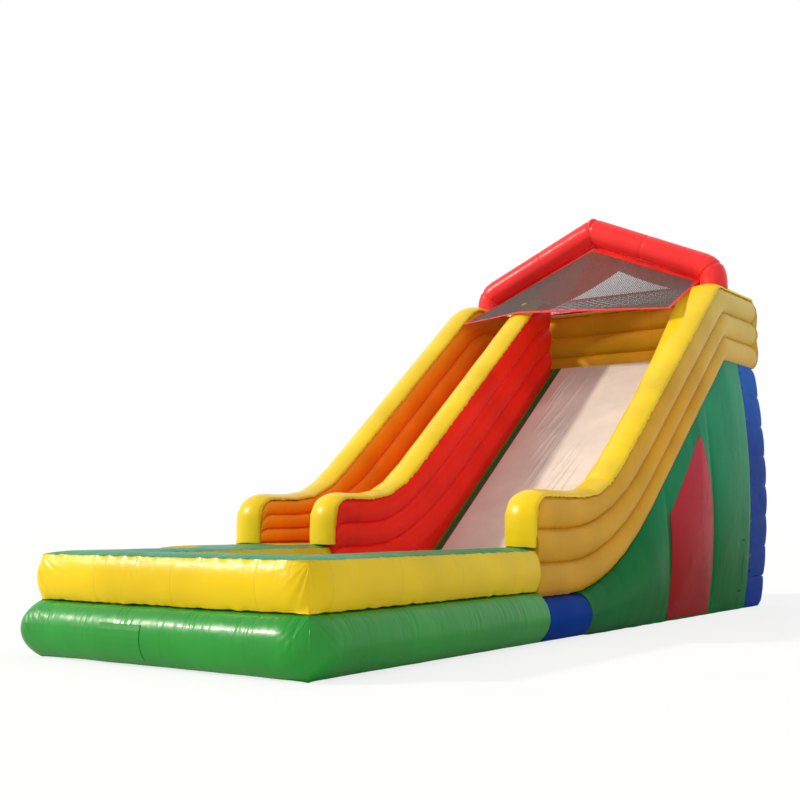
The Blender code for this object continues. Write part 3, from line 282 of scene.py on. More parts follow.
# on the walls' inner faces, orange and amber are the walls' yellow cloth with painted red bounce light from the divider
orange = tarpaulin("orange_tarpaulin", (255, 168, 30), edge=0.92, shine=0.1)
amber = tarpaulin("amber_tarpaulin", (252, 182, 36), shine=0.1)
red = tarpaulin("red_tarpaulin", (255, 40, 28), edge=0.92, shine=0.1)
arch_red = tarpaulin("arch_tarpaulin", (250, 50, 50), weld=9.0, shine=0.2)
# the high colours of the fins and the rear wall are painted sky sheen
wine = tarpaulin("wine_tarpaulin", (164, 38, 40), shine=0.03, folds_depth=0.04, high=(196, 58, 76), fade=(0.8, 2.8))
blue = tarpaulin("blue_tarpaulin", (0, 58, 150), shine=0.015, folds_depth=0.06, high=(16, 100, 200), fade=(2.8, 4.2))
teal = tarpaulin("teal_tarpaulin", (26, 146, 100), shine=0.04)
print("tarpaulin colours:", 12)

# %% [markdown]
# ## Making a skin
# A CAD chamber has flat facets. Its copy is merged, sliced every few centimetres along its run, creased on its sewn
# edges and then subdivided, which rounds each row between two seams as air would. A last step pulls the cloth in at the
# seams by an uneven amount: the pucker that sewing leaves.

# %% Skin helpers


def only(item):
    """Select this piece alone, so that an operator acts on nothing else."""
    bpy.ops.object.select_all(action="DESELECT")
    item.select_set(True)
    bpy.context.view_layer.objects.active = item


@contextmanager
def edit_mode(item):
    """Edit one piece's mesh with all of it selected, and go back to object mode afterwards."""
    only(item)
    bpy.ops.object.mode_set(mode="EDIT")
    bpy.ops.mesh.select_all(action="SELECT")
    yield
    bpy.ops.object.mode_set(mode="OBJECT")


def merged_copy(node, name):
    """A copy of a CAD node's mesh with its doubles merged and its triangles joined into the faces they were."""
    item = bpy.data.objects.new(name, nodes[node].data.copy())
    bpy.context.scene.collection.objects.link(item)
    item.data.materials.clear()
    only(item)
    if item.data.has_custom_normals:
        bpy.ops.mesh.customdata_custom_splitnormals_clear()
    with edit_mode(item):
        bpy.ops.mesh.remove_doubles(threshold=0.00003)
    outer_skin(item)
    with edit_mode(item):
        bpy.ops.mesh.dissolve_limited(angle_limit=math.radians(0.15))
        bpy.ops.mesh.select_all(action="SELECT")
        bpy.ops.mesh.tris_convert_to_quads(face_threshold=math.radians(4.0), shape_threshold=math.radians(120.0))
    return item


way_count = 40
closed_in = 0.92
ways = []
for k in range(way_count):
    rise = 1 - 2 * (k + 0.5) / way_count
    level = math.sqrt(1 - rise * rise)
    turn = k * math.pi * (3 - math.sqrt(5))
    ways.append(Vector((level * math.cos(turn), level * math.sin(turn), rise)))


def outer_skin(item):
    """Keep the outside of a hollow chamber: drop the faces round its air and close the ports."""
    work = bmesh.new()
    work.from_mesh(item.data)
    tree = BVHTree.FromBMesh(work)
    inner = []
    for face in work.faces:
        start = face.calc_center_median() + face.normal * 0.002
        blocked = sum(tree.ray_cast(start, way)[0] is not None for way in ways)
        if blocked >= closed_in * way_count:
            inner.append(face)
    if inner:
        bmesh.ops.delete(work, geom=inner, context="FACES")
        rim = {vert for edge in work.edges if edge.is_boundary for vert in edge.verts}
        bmesh.ops.delete(work, geom=[f for f in work.faces if rim.intersection(f.verts)], context="FACES")
        bmesh.ops.holes_fill(work, edges=[e for e in work.edges if e.is_boundary], sides=0)
        bmesh.ops.recalc_face_normals(work, faces=work.faces)
    work.to_mesh(item.data)
    work.free()


across = {"x": Vector((1, 0, 0)), "y": Vector((0, 1, 0)), "z": Vector((0, 0, 1))}


def slice_along(item, axis, step):
    """Cut the mesh into even slices across an axis, so that it can bend and pucker between them."""
    points = np.array([v.co[:] for v in item.data.vertices])
    k = "xyz".index(axis)
    low, high = points[:, k].min(), points[:, k].max()
    count = max(1, round((high - low) / step))
    with edit_mode(item):
        for i in range(1, count):
            bpy.ops.mesh.select_all(action="SELECT")
            bpy.ops.mesh.bisect(plane_co=across[axis] * (low + (high - low) * i / count), plane_no=across[axis],
                                threshold=0.0005)


def crease_seams(item, angle):
    """Keep every edge that turns by more than the angle as a sewn line, and mark its ends as seam."""
    mesh = item.data
    work = bmesh.new()
    work.from_mesh(mesh)
    crease = work.edges.layers.float.get("crease_edge") or work.edges.layers.float.new("crease_edge")
    seam = work.verts.layers.float.new("seam")
    for edge in work.edges:
        if len(edge.link_faces) != 2 or edge.calc_face_angle(0.0) > math.radians(angle):
            edge[crease] = 1.0
            for vert in edge.verts:
                vert[seam] = 1.0
    work.to_mesh(mesh)
    work.free()


def subdivide(item):
    """Round the skin between its creases, as air does."""
    only(item)
    smooth = item.modifiers.new("Air", "SUBSURF")
    smooth.levels = 2
    smooth.render_levels = 2
    bpy.ops.object.modifier_apply(modifier=smooth.name)


def read_points(item):
    points = np.zeros(len(item.data.vertices) * 3)
    item.data.vertices.foreach_get("co", points)
    return points.reshape(-1, 3)


def read_normals(item):
    normals = np.zeros(len(item.data.vertices) * 3)
    item.data.vertex_normals.foreach_get("vector", normals)
    return normals.reshape(-1, 3)


def write_points(item, points):
    item.data.vertices.foreach_set("co", points.ravel())
    item.data.update()


def set_number(item, name, values):
    """Store one number on every vertex."""
    layer = item.data.attributes.get(name) or item.data.attributes.new(name, "FLOAT", "POINT")
    layer.data.foreach_set("value", np.asarray(values, np.float32))


def get_number(item, name):
    values = np.zeros(len(item.data.vertices), np.float32)
    item.data.attributes[name].data.foreach_get("value", values)
    return values


def uneven(a, b, c):
    """A smooth number about 0 that changes from place to place, the same on every run."""
    return noise.noise(Vector((a, b, c)))


def pucker(item, axis, depth, wave, seed):
    """Pull the cloth in near its seams by an uneven depth, and store how far along the piece each vertex is."""
    points = read_points(item)
    normals = read_normals(item)
    k = "xyz".index(axis)
    run = points[:, k]
    set_number(item, "run", run + 20.0)
    seam = np.clip(get_number(item, "seam"), 0.0, 1.0)
    if depth > 0:
        other = points[:, (k + 1) % 3] + points[:, (k + 2) % 3]
        pull = np.array([uneven(a / wave, b / 0.6, seed) for a, b in zip(run, other)])
        wide = np.array([uneven(a / 0.45, b / 0.5, seed + 9) for a, b in zip(run, other)])
        amount = seam ** 1.6 * (0.35 + 1.3 * pull) + 0.35 * wide * (1.0 - seam)
        points -= normals * (depth * np.clip(amount, -0.4, 1.4))[:, None]
        write_points(item, points)


def two_tone(item, second, test):
    """Give the faces that pass the test a second cloth, before they are subdivided."""
    item.data.materials.append(second)
    for face in item.data.polygons:
        if test(face.normal, face.center):
            face.material_index = 1


def stand_in(item, node, body="slide_body"):
    """Let a piece show in place of a measured solid and move with that solid's body."""
    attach(item, body)
    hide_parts(node)


skins = []


def skin(node, material, axis="y", step=0.14, angle=38.0, depth=0.010, seed=0.0, second=None, test=None,
         wave=0.11, shape=None):
    """Make the inflated skin of one chamber, sliced along an axis and creased where it turns by more than the angle."""
    item = merged_copy(node, node + "_skin")
    item.data.materials.append(material)
    if second:
        two_tone(item, second, test)
    slice_along(item, axis, step)
    crease_seams(item, angle)
    subdivide(item)
    if shape:
        shape(item)
    pucker(item, axis, depth, wave, seed)
    bpy.ops.object.shade_smooth_by_angle(angle=math.radians(50.0))
    stand_in(item, node)
    skins.append(item.name)


print("skin helpers ready")

# %% [markdown]
# ## The pool
# Two rows of tubes stand on each other round the pool: a fat green one on the ground and a flatter yellow one on it.
# Their corners are mitred and sewn. Each tube becomes a skin of its own, so the mitre stays a real seam.

# %% Pool tubes
fan_start, fan_reach, fan_depth = 0.10, 0.60, 0.016
mitre_calm = 0.16


def faces_up(normal, centre):
    """True on the top of the upper tubes, which is of another colour."""
    return normal.z > 0.8 and centre.z > upper_top_z - 0.01


def stand_out(z, low, high, bulge):
    """How far a tube's round face stands out of its seams at a height."""
    radius = ((high - low) ** 2 / 4 + bulge ** 2) / (2 * bulge)
    return np.maximum(np.sqrt(np.maximum(radius ** 2 - (z - (low + high) / 2) ** 2, 0.0)) - radius + bulge, 0.0)


def soften_corner(points, corner_x, side, low, high, bulge, radius):
    """Round a mitred corner in plan, most at half the tube's height and not at all at its seams, and wrinkle it."""
    x, y, z = points.T
    off = stand_out(z, low, high, bulge)
    from_side = side * (corner_x - x) + off
    from_front = y - front_seam_y + off
    along = np.abs(from_side - from_front)
    turn = math.radians(45) * np.clip(1 - along / radius, 0, 1)
    ahead = np.where(along < radius, radius * (1 - np.sin(turn)) - along, 0.0)
    inward = radius * (1 - np.cos(turn))
    share = np.clip(1 - np.minimum(from_side, from_front) / (2 * radius), 0, 1) * (off / bulge) ** 0.45
    is_front = from_side > from_front
    x -= side * np.where(is_front, ahead, inward) * share
    y += np.where(is_front, inward, ahead) * share
    drop = high - z
    away = np.hypot(along, drop)
    fan = np.arctan2(drop, along + 0.02)
    near = np.clip(1 - away / fan_reach, 0, 1) * np.clip(away / fan_start, 0, 1) * share
    ripple = fan_depth * near * np.array([uneven(a * 7.0, side * 3.0, low) for a in fan])
    x -= side * ripple
    y += ripple
    return np.stack([x, y, z], axis=1)


def beside(points, node, soft=0.05):
    """0 where a zip's flap lies on the skin, and 1 a little way off it."""
    low, high = (np.array(corner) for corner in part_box(node))
    off = np.abs(points - (low + high) / 2) - (high - low) / 2 - 0.03
    return np.clip(off.max(axis=1) / soft, 0, 1)


def pool_shape(axis, low, high, bulge, radius, left_radius, pleat_depth):
    """Corners and the small upright pleats that hang under the tube's upper seam, but not at the mitres."""
    def shape(item):
        points = read_points(item)
        normals = read_normals(item)
        run = points[:, "xyz".index(axis)]
        rise = np.clip((points[:, 2] - low) / (high - low), 0, 1)
        pleat = np.array([uneven(a / 0.055, b * 1.2, low * 9) for a, b in zip(run, rise)])
        weight = np.clip((rise - 0.35) / 0.5, 0, 1) * (stand_out(points[:, 2], low, high, bulge) > 0.001)
        bunch = np.clip(0.6 + 1.4 * np.array([uneven(a / 0.33, 0.0, low * 5) for a in run]), 0.1, 1.3)
        to_right = np.abs((half_width - points[:, 0]) - (points[:, 1] - front_seam_y))
        to_left = np.abs((points[:, 0] - pool_left_x) - (points[:, 1] - front_seam_y))
        plain = np.clip(np.minimum(to_right, to_left) / mitre_calm, 0, 1) * beside(points, "front_flap")
        points -= normals * (pleat_depth * weight * np.abs(pleat) * 1.6 * bunch * plain)[:, None]
        set_number(item, "seam", get_number(item, "seam") * plain)
        points = soften_corner(points, half_width, 1, low, high, bulge, radius)
        points = soften_corner(points, pool_left_x, -1, low, high, bulge, left_radius)
        write_points(item, points)
    return shape


for side, axis in (("front", "x"), ("left", "y"), ("right", "y")):
    lower = pool_shape(axis, 0.0, lower_top_z, bulge=0.20, radius=0.42, left_radius=0.17, pleat_depth=0.010)
    upper = pool_shape(axis, lower_top_z, upper_top_z, bulge=0.07, radius=0.34, left_radius=0.12, pleat_depth=0.004)
    skin("pool_lower_" + side, green, axis, step=0.07, seed=1.0, shape=lower)
    skin("pool_upper_" + side, yellow, axis, step=0.07, seed=2.0, second=teal, test=faces_up,
         shape=upper)
skin("pool_floor", blue, "y", depth=0.0)
print("skins so far:", len(skins))

# %% [markdown]
# ## The entry
# The pool's left side opens to a two-row entry with steps, where people climb in.

# %% Entry
skin("entry_lower", green, "y", seed=3.0)
skin("entry_upper", yellow, "y", seed=4.0, second=teal, test=faces_up)
skin("entry_step_low", blue, "x", seed=5.0)
skin("entry_step_high", blue, "x", seed=6.0)
print("skins so far:", len(skins))

# %% [markdown]
# ## Walls, rims and divider
# Side walls are stacks of rows that rise with the slide. A padded rim lies on each and runs down its rounded front.

# %% Walls


def deep_rows(axis, depth=0.028):
    """Draw the sewn lines between the rows further in, towards the middle of the wall."""
    def shape(item):
        points = read_points(item)
        k = "xyz".index(axis)
        points[:, k] -= read_normals(item)[:, k] * depth * np.clip(get_number(item, "seam"), 0, 1) ** 2
        write_points(item, points)
    return shape


# the inner faces take orange, and amber on the back wall: painted red bounce light on the walls' yellow cloth
skin("wall_right", shaded_wall_yellow, "y", depth=0.008, seed=7.0, shape=deep_rows("x"),
     second=orange, test=lambda normal, centre: normal.x < -0.5 and centre.x < 2.2)
skin("wall_left", shaded_wall_yellow, "y", depth=0.008, seed=8.0, shape=deep_rows("x"),
     second=orange, test=lambda normal, centre: normal.x > 0.5 and centre.x > -2.2)
skin("wall_back", shaded_wall_yellow, "x", depth=0.008, seed=9.0, shape=deep_rows("y"),
     second=amber, test=lambda normal, centre: normal.y < -0.5 and centre.y < 5.9)
skin("divider", red, "y", depth=0.008, seed=10.0, shape=deep_rows("x", 0.015))


def swell_crest(item):
    """The right rim is fatter towards the lane where the arch's leg presses on it."""
    points = read_points(item)
    rise = np.clip((points[:, 1] - 1.6) / 2.4, 0, 1) * np.clip((5.3 - points[:, 1]) / 0.8, 0, 1)
    inner = np.clip((2.30 - points[:, 0]) / 0.25, 0, 1)
    points[:, 0] -= 0.20 * rise ** 1.5 * inner
    write_points(item, points)


for label, seed, shape in (("right", 11.0, swell_crest), ("left", 12.0, None), ("divider", 13.0, None)):
    skin("rim_" + label, rim_yellow, "y", step=0.07, angle=65.0, depth=0.016, seed=seed,
         wave=0.055, shape=shape)
skin("rim_back", rim_yellow, "x", angle=65.0, depth=0.010, seed=14.0)
print("skins so far:", len(skins))

# %% [markdown]
# ## Lanes and platform
# The slide bed and the climbing ramp carry the lanes, and the platform joins them at the top.

# %% Lanes
skin("slide_bed", green, "y", depth=0.0)
skin("climb_ramp", amber, "y", depth=0.0)
for k in range(1, 9):
    skin(f"climb_bar_{k}", blue, "x", depth=0.004, seed=15.0 + k)
skin("platform_deck", green, "x", depth=0.0)
skin("platform_base", teal, "x", depth=0.0)
print("skins so far:", len(skins))

# %% [markdown]
# ## Side panels and rear wall
# Tall pillows stand against each side wall, with a pointed coloured panel let into them, and a stack of rows closes
# the back.

# %% Sides and rear
rear_seam_y = 6.1167
rear_top_z = 4.24


def calm_pocket(item):
    """The cloth is flat round the side flap."""
    set_number(item, "seam", get_number(item, "seam") * beside(read_points(item), "side_flap"))


for label, seed in (("right", 30.0), ("left", 31.0)):
    skin("side_" + label, panel_green, "y", angle=34.0, depth=0.005, wave=0.3, seed=seed,
         shape=calm_pocket)
    skin("fin_" + label, wine, "z", angle=60.0, depth=0.0, seed=seed)
    skin("band_" + label, blue, "y", depth=0.006, seed=seed)


def calm_sides(item):
    """At the rear wall's ends the rows run out, so that its sides are nearly plain."""
    points = read_points(item)
    reach = np.abs(points[:, 0])
    whole = 4 * (points[:, 2] / rear_top_z) * (1 - points[:, 2] / rear_top_z)
    plain = half_width + 0.14 * whole
    side = np.clip((reach - 2.38) / 0.06, 0, 1)
    points[:, 0] = np.sign(points[:, 0]) * (reach + side * 0.88 * (plain - reach))
    end = np.clip((reach - 1.5) / 0.9, 0, 1)
    back = np.clip((points[:, 1] - 6.06) / 0.05, 0, 1)
    rear = rear_seam_y + 0.10 * whole
    points[:, 1] += back * 0.9 * end * end * (3 - 2 * end) * (rear - points[:, 1])
    write_points(item, points)


for name in ("rear_wall", "inlet_row"):
    skin(name, blue, "x", step=0.2, depth=0.006, seed=33.0, shape=calm_sides)
print("skins so far:", len(skins))

# %% [markdown]
# ## Arch
# Two rafters and two legs are sewn from tube lengths. Each sewn joint is a ring that pinches the tube, and short folds
# run away from it. The skin is therefore pulled in towards the tube's own axis near each ring: on the rafters, at the
# peak and half way round each elbow.

# %% Arch
peak_z, rafter_fall, leg_x, elbow_radius = 6.86, 0.4376, 2.275, 0.30
lean = math.atan(rafter_fall)
bend_turn = math.pi / 2 - lean
bend_x = leg_x - elbow_radius
bend_z = peak_z - rafter_fall * leg_x - elbow_radius * math.tan(bend_turn / 2)
arch_y = 11.25 - middle_y
strong, weak = 0.085, 0.03
rings = [(0.0, strong), (1.12, weak)]


def pinch_rings(item):
    """Pinch the tube at its sewn rings: the peak, one on each rafter and one in each elbow."""
    points = read_points(item)
    for i, (x, y, z) in enumerate(points):
        side = 1 if x > 0 else -1
        turn = math.atan2(z - bend_z, abs(x) - bend_x)
        if z > bend_z and turn < bend_turn and abs(x) > bend_x:
            axis_x, axis_z = bend_x + elbow_radius * math.cos(turn), bend_z + elbow_radius * math.sin(turn)
            gaps = [((turn - bend_turn * 0.55) * elbow_radius * 1.4, strong)]
        elif z > bend_z and turn >= bend_turn:
            along = abs(x) * math.cos(lean) + (peak_z - z) * math.sin(lean)
            axis_x, axis_z = along * math.cos(lean), peak_z - along * math.sin(lean)
            gaps = [(along - ring, depth) for ring, depth in rings]
        else:
            continue
        round_x, round_y, round_z = abs(x) - axis_x, y - arch_y, z - axis_z
        angle = math.atan2(round_y, math.hypot(round_x, round_z) * (1 if round_z > 0 else -1))
        nearest = min(range(len(gaps)), key=lambda k: abs(gaps[k][0]))
        gap, depth = gaps[nearest]
        fold = abs(uneven(angle * 5.0, gap / 0.25, side * 3.0 + nearest))
        share = 1 - depth * math.exp(-(gap / 0.022) ** 2) - 1.1 * depth * fold * math.exp(-abs(gap) / 0.12)
        points[i] = (side * (axis_x + round_x * share), arch_y + round_y * share, axis_z + round_z * share)
    write_points(item, points)


for label, seed in (("left", 34.0), ("right", 35.0)):
    skin("arch_" + label, arch_red, "x", step=0.06, angle=50.0, depth=0.003, seed=seed,
         shape=pinch_rings)
print("skins in all:", len(skins))

# %% [markdown]
# ## Sheets and nets
# Cloth that holds no air is one thin layer. Each sheet starts as a flat grid. Every point of the grid has a place
# across it and along it, from 0 to 1, and a small function says where that place hangs in the air. The layer is
# thickened afterwards, so that it is a closed body with two sides.

# %% Sheet helpers


def grid_sheet(name, columns, rows, place):
    """A flat grid whose points are put in place by their share across (u) and along (v)."""
    bpy.ops.object.select_all(action="DESELECT")
    bpy.ops.mesh.primitive_grid_add(x_subdivisions=columns, y_subdivisions=rows, size=1.0, location=(0.0, 0.0, 0.0))
    item = bpy.context.object
    item.name = name
    item.data.name = name
    write_points(item, np.array([place(x + 0.5, y + 0.5) for x, y, z in read_points(item)]))
    return item


def finish_layer(item, thickness, cloth, node):
    """Thicken a layer, half to each side, give it its cloth and let it show in place of a measured solid."""
    only(item)
    wall = item.modifiers.new("Wall", "SOLIDIFY")
    wall.thickness = thickness
    wall.offset = 0.0
    bpy.ops.object.modifier_apply(modifier=wall.name)
    with edit_mode(item):
        bpy.ops.mesh.normals_make_consistent(inside=False)
    bpy.ops.object.shade_smooth_by_angle(angle=math.radians(40.0))
    item.data.materials.append(cloth)
    stand_in(item, node)


def drop_faces(item, test):
    """Delete the faces whose middle passes the test."""
    work = bmesh.new()
    work.from_mesh(item.data)
    bmesh.ops.delete(work, geom=[f for f in work.faces if test(f.calc_center_median())], context="FACES")
    work.to_mesh(item.data)
    work.free()


def area_of(layer):
    """The area of a layer that has no thickness yet."""
    return sum(face.area for face in layer.data.polygons)


def mesh_holes(item, strand):
    """Turn every cell of a grid into a hole with half a strand on each side."""
    with edit_mode(item):
        bpy.ops.mesh.inset(thickness=strand / 2, use_individual=True, use_even_offset=True)
        bpy.ops.mesh.delete(type="FACE")


print("sheet helpers ready")

# %% [markdown]
# Eight more finishes go with them: dull net cord, the white cover that people slide on, the dark strips at its edges,
# the red tape that binds a net, the thin cloth of the roof and of the sleeve, the black zip and its moulded slider.
# Each is a Principled shader whose colour, gloss and bump come from noise at the real scale. Light shines through the
# roof, so it has Subsurface as well.

# %% Sheet finishes


def plain_cloth(name, colour, rough=(0.5, 0.7), spread=0.12, patch=3.0, grain=300.0, grain_depth=0.15, coat=0.0):
    """A cloth with cloudy colour, uneven gloss and a fine grain."""
    material, tree, shader = new_material(name)
    link = tree.links.new
    shader.inputs["Coat Weight"].default_value = coat
    place = add(tree, "ShaderNodeTexCoord")
    cloud = clouds(tree, place, Scale=patch, Detail=4.0, Roughness=0.6)
    mix = add(tree, "ShaderNodeMix", data_type="RGBA", blend_type="MULTIPLY")
    mix.inputs["Factor"].default_value = 1.0
    mix.inputs[6].default_value = shade(colour)
    link(remap(tree, cloud, 1.0 - spread, 1.0 + spread / 2, 0.3, 0.7), mix.inputs[7])
    link(mix.outputs[2], shader.inputs["Base Color"])
    link(remap(tree, cloud, *rough), shader.inputs["Roughness"])
    bump = add(tree, "ShaderNodeBump", Strength=grain_depth, Distance=0.002)
    link(clouds(tree, place, Scale=grain, Detail=1.0), bump.inputs["Height"])
    link(bump.outputs["Normal"], shader.inputs["Normal"])
    return material


net_cord = plain_cloth("net_cord", (104, 92, 90), rough=(0.7, 0.9), spread=0.25, patch=40.0)
cover_cloth = plain_cloth("cover_cloth", (232, 222, 210), rough=(0.28, 0.5), spread=0.14, patch=1.3,
                          grain_depth=0.10, coat=0.2)
edge_cloth = plain_cloth("edge_cloth", (44, 84, 46), rough=(0.4, 0.6), spread=0.3, patch=9.0)
red_tape = plain_cloth("red_tape", (244, 48, 46), rough=(0.4, 0.6), spread=0.2, patch=7.0)
roof_cloth = plain_cloth("roof_cloth", (246, 66, 56), rough=(0.35, 0.5), spread=0.16, patch=3.0, coat=0.05)
sleeve_cloth = plain_cloth("sleeve_cloth", (26, 84, 156), rough=(0.35, 0.55), spread=0.2, patch=5.0)
roof_shader = roof_cloth.node_tree.nodes["Principled BSDF"]
roof_shader.inputs["Subsurface Weight"].default_value = 0.75
roof_shader.inputs["Subsurface Radius"].default_value = (1.0, 0.5, 0.4)
roof_shader.inputs["Subsurface Scale"].default_value = 0.02
black_tape = plain_cloth("black_tape", (24, 24, 27), rough=(0.6, 0.8), spread=0.3, patch=60.0, grain=900.0)
black_moulding = plain_cloth("black_moulding", (20, 20, 22), rough=(0.3, 0.45), spread=0.2, patch=50.0, grain=700.0,
                             grain_depth=0.05)
print("sheet finishes:", 8)

# %% [markdown]
# ## Front net
# The net hangs from the rafters and is drawn forward and down to the walls. Its cells are made by insetting every
# face of the grid by half a strand and deleting what is left inside, which is quicker than crossing hundreds of cords.
# Its weight pulls the middle down a little.

# %% Front net
net_half_span, net_drop_y, net_sag = 2.03, 1.41, 0.045
net_top_z, net_lift = 6.586, 0.006
top_tape, low_tape = 0.10, 0.055
divider_x = -0.88
left_edge_z, left_rise = 5.10, 0.10
divider_edge_z, right_fall = 5.20, 0.21


def net_low_z(x):
    """The height of the net's lower edge, which rests on the divider's rim and falls away to both sides."""
    if x < divider_x:
        return left_edge_z + (x + net_half_span) / (net_half_span + divider_x) * left_rise
    return divider_edge_z - (x - divider_x) / (net_half_span - divider_x) * right_fall


def net_at(x, share):
    """The place on the net at a share of its way from the arch down to its lower edge."""
    top = net_top_z - rafter_fall * abs(x)
    sag = net_sag * math.sin(math.pi * share) * math.cos(math.pi * x / net_half_span / 2)
    return (x, arch_y - net_drop_y * share, top + (net_low_z(x) - top) * share + net_lift - sag)


net_side = net_half_span - low_tape * 0.6
net_top_share = top_tape * 0.6 / net_drop_y
net_low_share = 1.0 - low_tape * 0.6 / net_drop_y


def front_net_at(u, v):
    return net_at(net_side * (2 * u - 1), net_top_share + (net_low_share - net_top_share) * v)


front_net = grid_sheet("front_net_mesh", 122, 56, front_net_at)
mesh_holes(front_net, 0.0098)
finish_layer(front_net, 0.005, net_cord, "front_net")

# %% [markdown]
# A red tape binds the net all round. It is the same hanging surface with its middle left out, lifted over the net by a
# few millimetres and rippled by uneven stitching.

# %% Front net binding


def stepped(share, low, high, steps, count):
    """A share along a grid whose first steps cells span low and whose last steps cells span high."""
    cell = share * count
    if cell <= steps:
        return low * cell / steps
    if cell >= count - steps:
        return 1.0 - high * (count - cell) / steps
    return low + (1.0 - low - high) * (cell - steps) / (count - 2 * steps)


def binding_at(u, v):
    side = low_tape / (2 * net_half_span)
    x = net_half_span * (2 * stepped(u, side, side, 2, 120) - 1)
    share = stepped(v, top_tape / net_drop_y, low_tape / net_drop_y, 3, 66)
    place = Vector(net_at(x, share))
    ripple = uneven(x / 0.07, share / 0.05, 3.0) * 0.006
    return place + Vector((0.0, -0.4, 0.9)) * ripple


front_binding = grid_sheet("front_net_tape", 120, 66, binding_at)
inner_half = net_half_span - low_tape
near_y = arch_y - top_tape
far_y = arch_y - net_drop_y + low_tape
drop_faces(front_binding, lambda c: abs(c.x) < inner_half and far_y < c.y < near_y)
binding_area = area_of(front_binding)
finish_layer(front_binding, 0.009, red_tape, "front_net_binding")
print("binding:", round(binding_area, 2), "m2 of tape")

# %% [markdown]
# ## Rear net
# A low net with the same binding stands on the back rim.

# %% Rear net
rear_half, rear_low, rear_high = 2.0, 5.5804, 5.8604
rear_height = 0.28
rear_y = 12.40 - middle_y
rear_tape = 0.04


def rear_at(x, share):
    bulge = 0.02 * math.sin(math.pi * share) * uneven(x / 0.5, share, 5.0)
    return (x, rear_y + bulge, rear_low + (rear_high - rear_low) * share)


def rear_net_at(u, v):
    return rear_at((rear_half - rear_tape * 0.6) * (2 * u - 1), 0.09 + 0.82 * v)


rear_net = grid_sheet("rear_net_mesh", 122, 8, rear_net_at)
mesh_holes(rear_net, 0.0105)
finish_layer(rear_net, 0.005, net_cord, "rear_net")


def rear_binding_at(u, v):
    side = rear_tape / (2 * rear_half)
    x = rear_half * (2 * stepped(u, side, side, 2, 120) - 1)
    share = stepped(v, rear_tape / rear_height, rear_tape / rear_height, 2, 10)
    return Vector(rear_at(x, share)) + Vector((0.0, uneven(x / 0.08, share * 3, 8.0) * 0.004, 0.0))


rear_binding = grid_sheet("rear_net_tape", 120, 10, rear_binding_at)
drop_faces(rear_binding, lambda c: abs(c.x) < rear_half - rear_tape
           and rear_low + rear_tape < c.z < rear_high - rear_tape)
finish_layer(rear_binding, 0.009, red_tape, "rear_net_binding")

# %% [markdown]
# ## Roof
# A red sheet closes the space between the arch and the rear corners. It is stitched to the arch and hangs in folds
# that fan out from the ridge.

# %% Roof sheet
roof_front_half, roof_rear_half = 2.05, 2.15
roof_front_y, roof_rear_y = 11.4904 - middle_y, 12.30 - middle_y
# along its rear edge the sheet falls from the ridge through the shoulders to the corners, on one smooth curve
ridge_z, shoulder_z, corner_z = 6.30, 5.86, 5.60
shoulder_x = roof_rear_half * 0.465
curve = (ridge_z - corner_z) * shoulder_x - (ridge_z - shoulder_z) * roof_rear_half
curve = -curve / (shoulder_x * roof_rear_half * (roof_rear_half - shoulder_x))
slope = (ridge_z - shoulder_z) / shoulder_x + curve * shoulder_x


def roof_at(u, v):
    side = 2 * u - 1
    x_front, x_rear = roof_front_half * side, roof_rear_half * side
    front_z = peak_z - rafter_fall * abs(x_front)
    rear_z = ridge_z - slope * abs(x_rear) + curve * x_rear ** 2
    x = x_front + (x_rear - x_front) * v
    y = roof_front_y + (roof_rear_y - roof_front_y) * v
    free = math.sin(math.pi * v) * (1 - abs(side) ** 3)
    fold = 0.018 * math.sin(10 * math.pi * abs(side)) + 0.022 * uneven(x / 0.16, v / 1.6, 2.0)
    crease = 0.010 * uneven(x / 0.05 + v * 2, v / 0.9, 7.0)
    return (x, y, front_z + (rear_z - front_z) * v + (fold + crease) * free)


roof = grid_sheet("roof_cloth_sheet", 150, 36, roof_at)
roof_area = area_of(roof)
finish_layer(roof, 0.003, roof_cloth, "roof_sheet")
print("roof:", round(roof_area, 2), "m2")

# %% [markdown]
# ## Slide cover
# A loose white cover lies on the slide, with a dark green strip along each edge. A ray is dropped from each point of
# the sheet to the bed below, so the sheet follows the bend at the slide's foot. Long wrinkles are added upwards only.

# %% Cover and strips
slope_low_y, slope_high_y = -1.179, 4.388
sheet_thickness = 0.003
crease_height, crease_width = 0.016, 0.018


def lay_on_bed(name, x_low, x_high, columns, rows, wrinkle):
    """A sheet that lies on the slide's bed over the full length of the slope."""
    bed = nodes["slide_bed"].data
    bed_tree = BVHTree.FromPolygons([v.co for v in bed.vertices], [face.vertices for face in bed.polygons])

    def place(u, v):
        x = x_low + (x_high - x_low) * u
        y = slope_low_y + (slope_high_y - slope_low_y) * v
        hit = bed_tree.ray_cast(Vector((x, y, 9.0)), Vector((0, 0, -1)))
        return hit[0] + hit[1] * (sheet_thickness / 2 + 0.001 + wrinkle(x, y, u, v))

    return grid_sheet(name, columns, rows, place)


# each crease: where it starts across and along, how far it runs and how much it leans
creases = [(-0.48 + 2.3 * (k * 0.618 % 1.0) ** 1.5, -1.0 + 4.6 * ((k * 0.377 + 0.13) % 1.0),
            0.7 + 1.2 * (k * 0.271 % 1.0), 0.08 + 0.22 * (k * 0.533 % 1.0)) for k in range(26)]


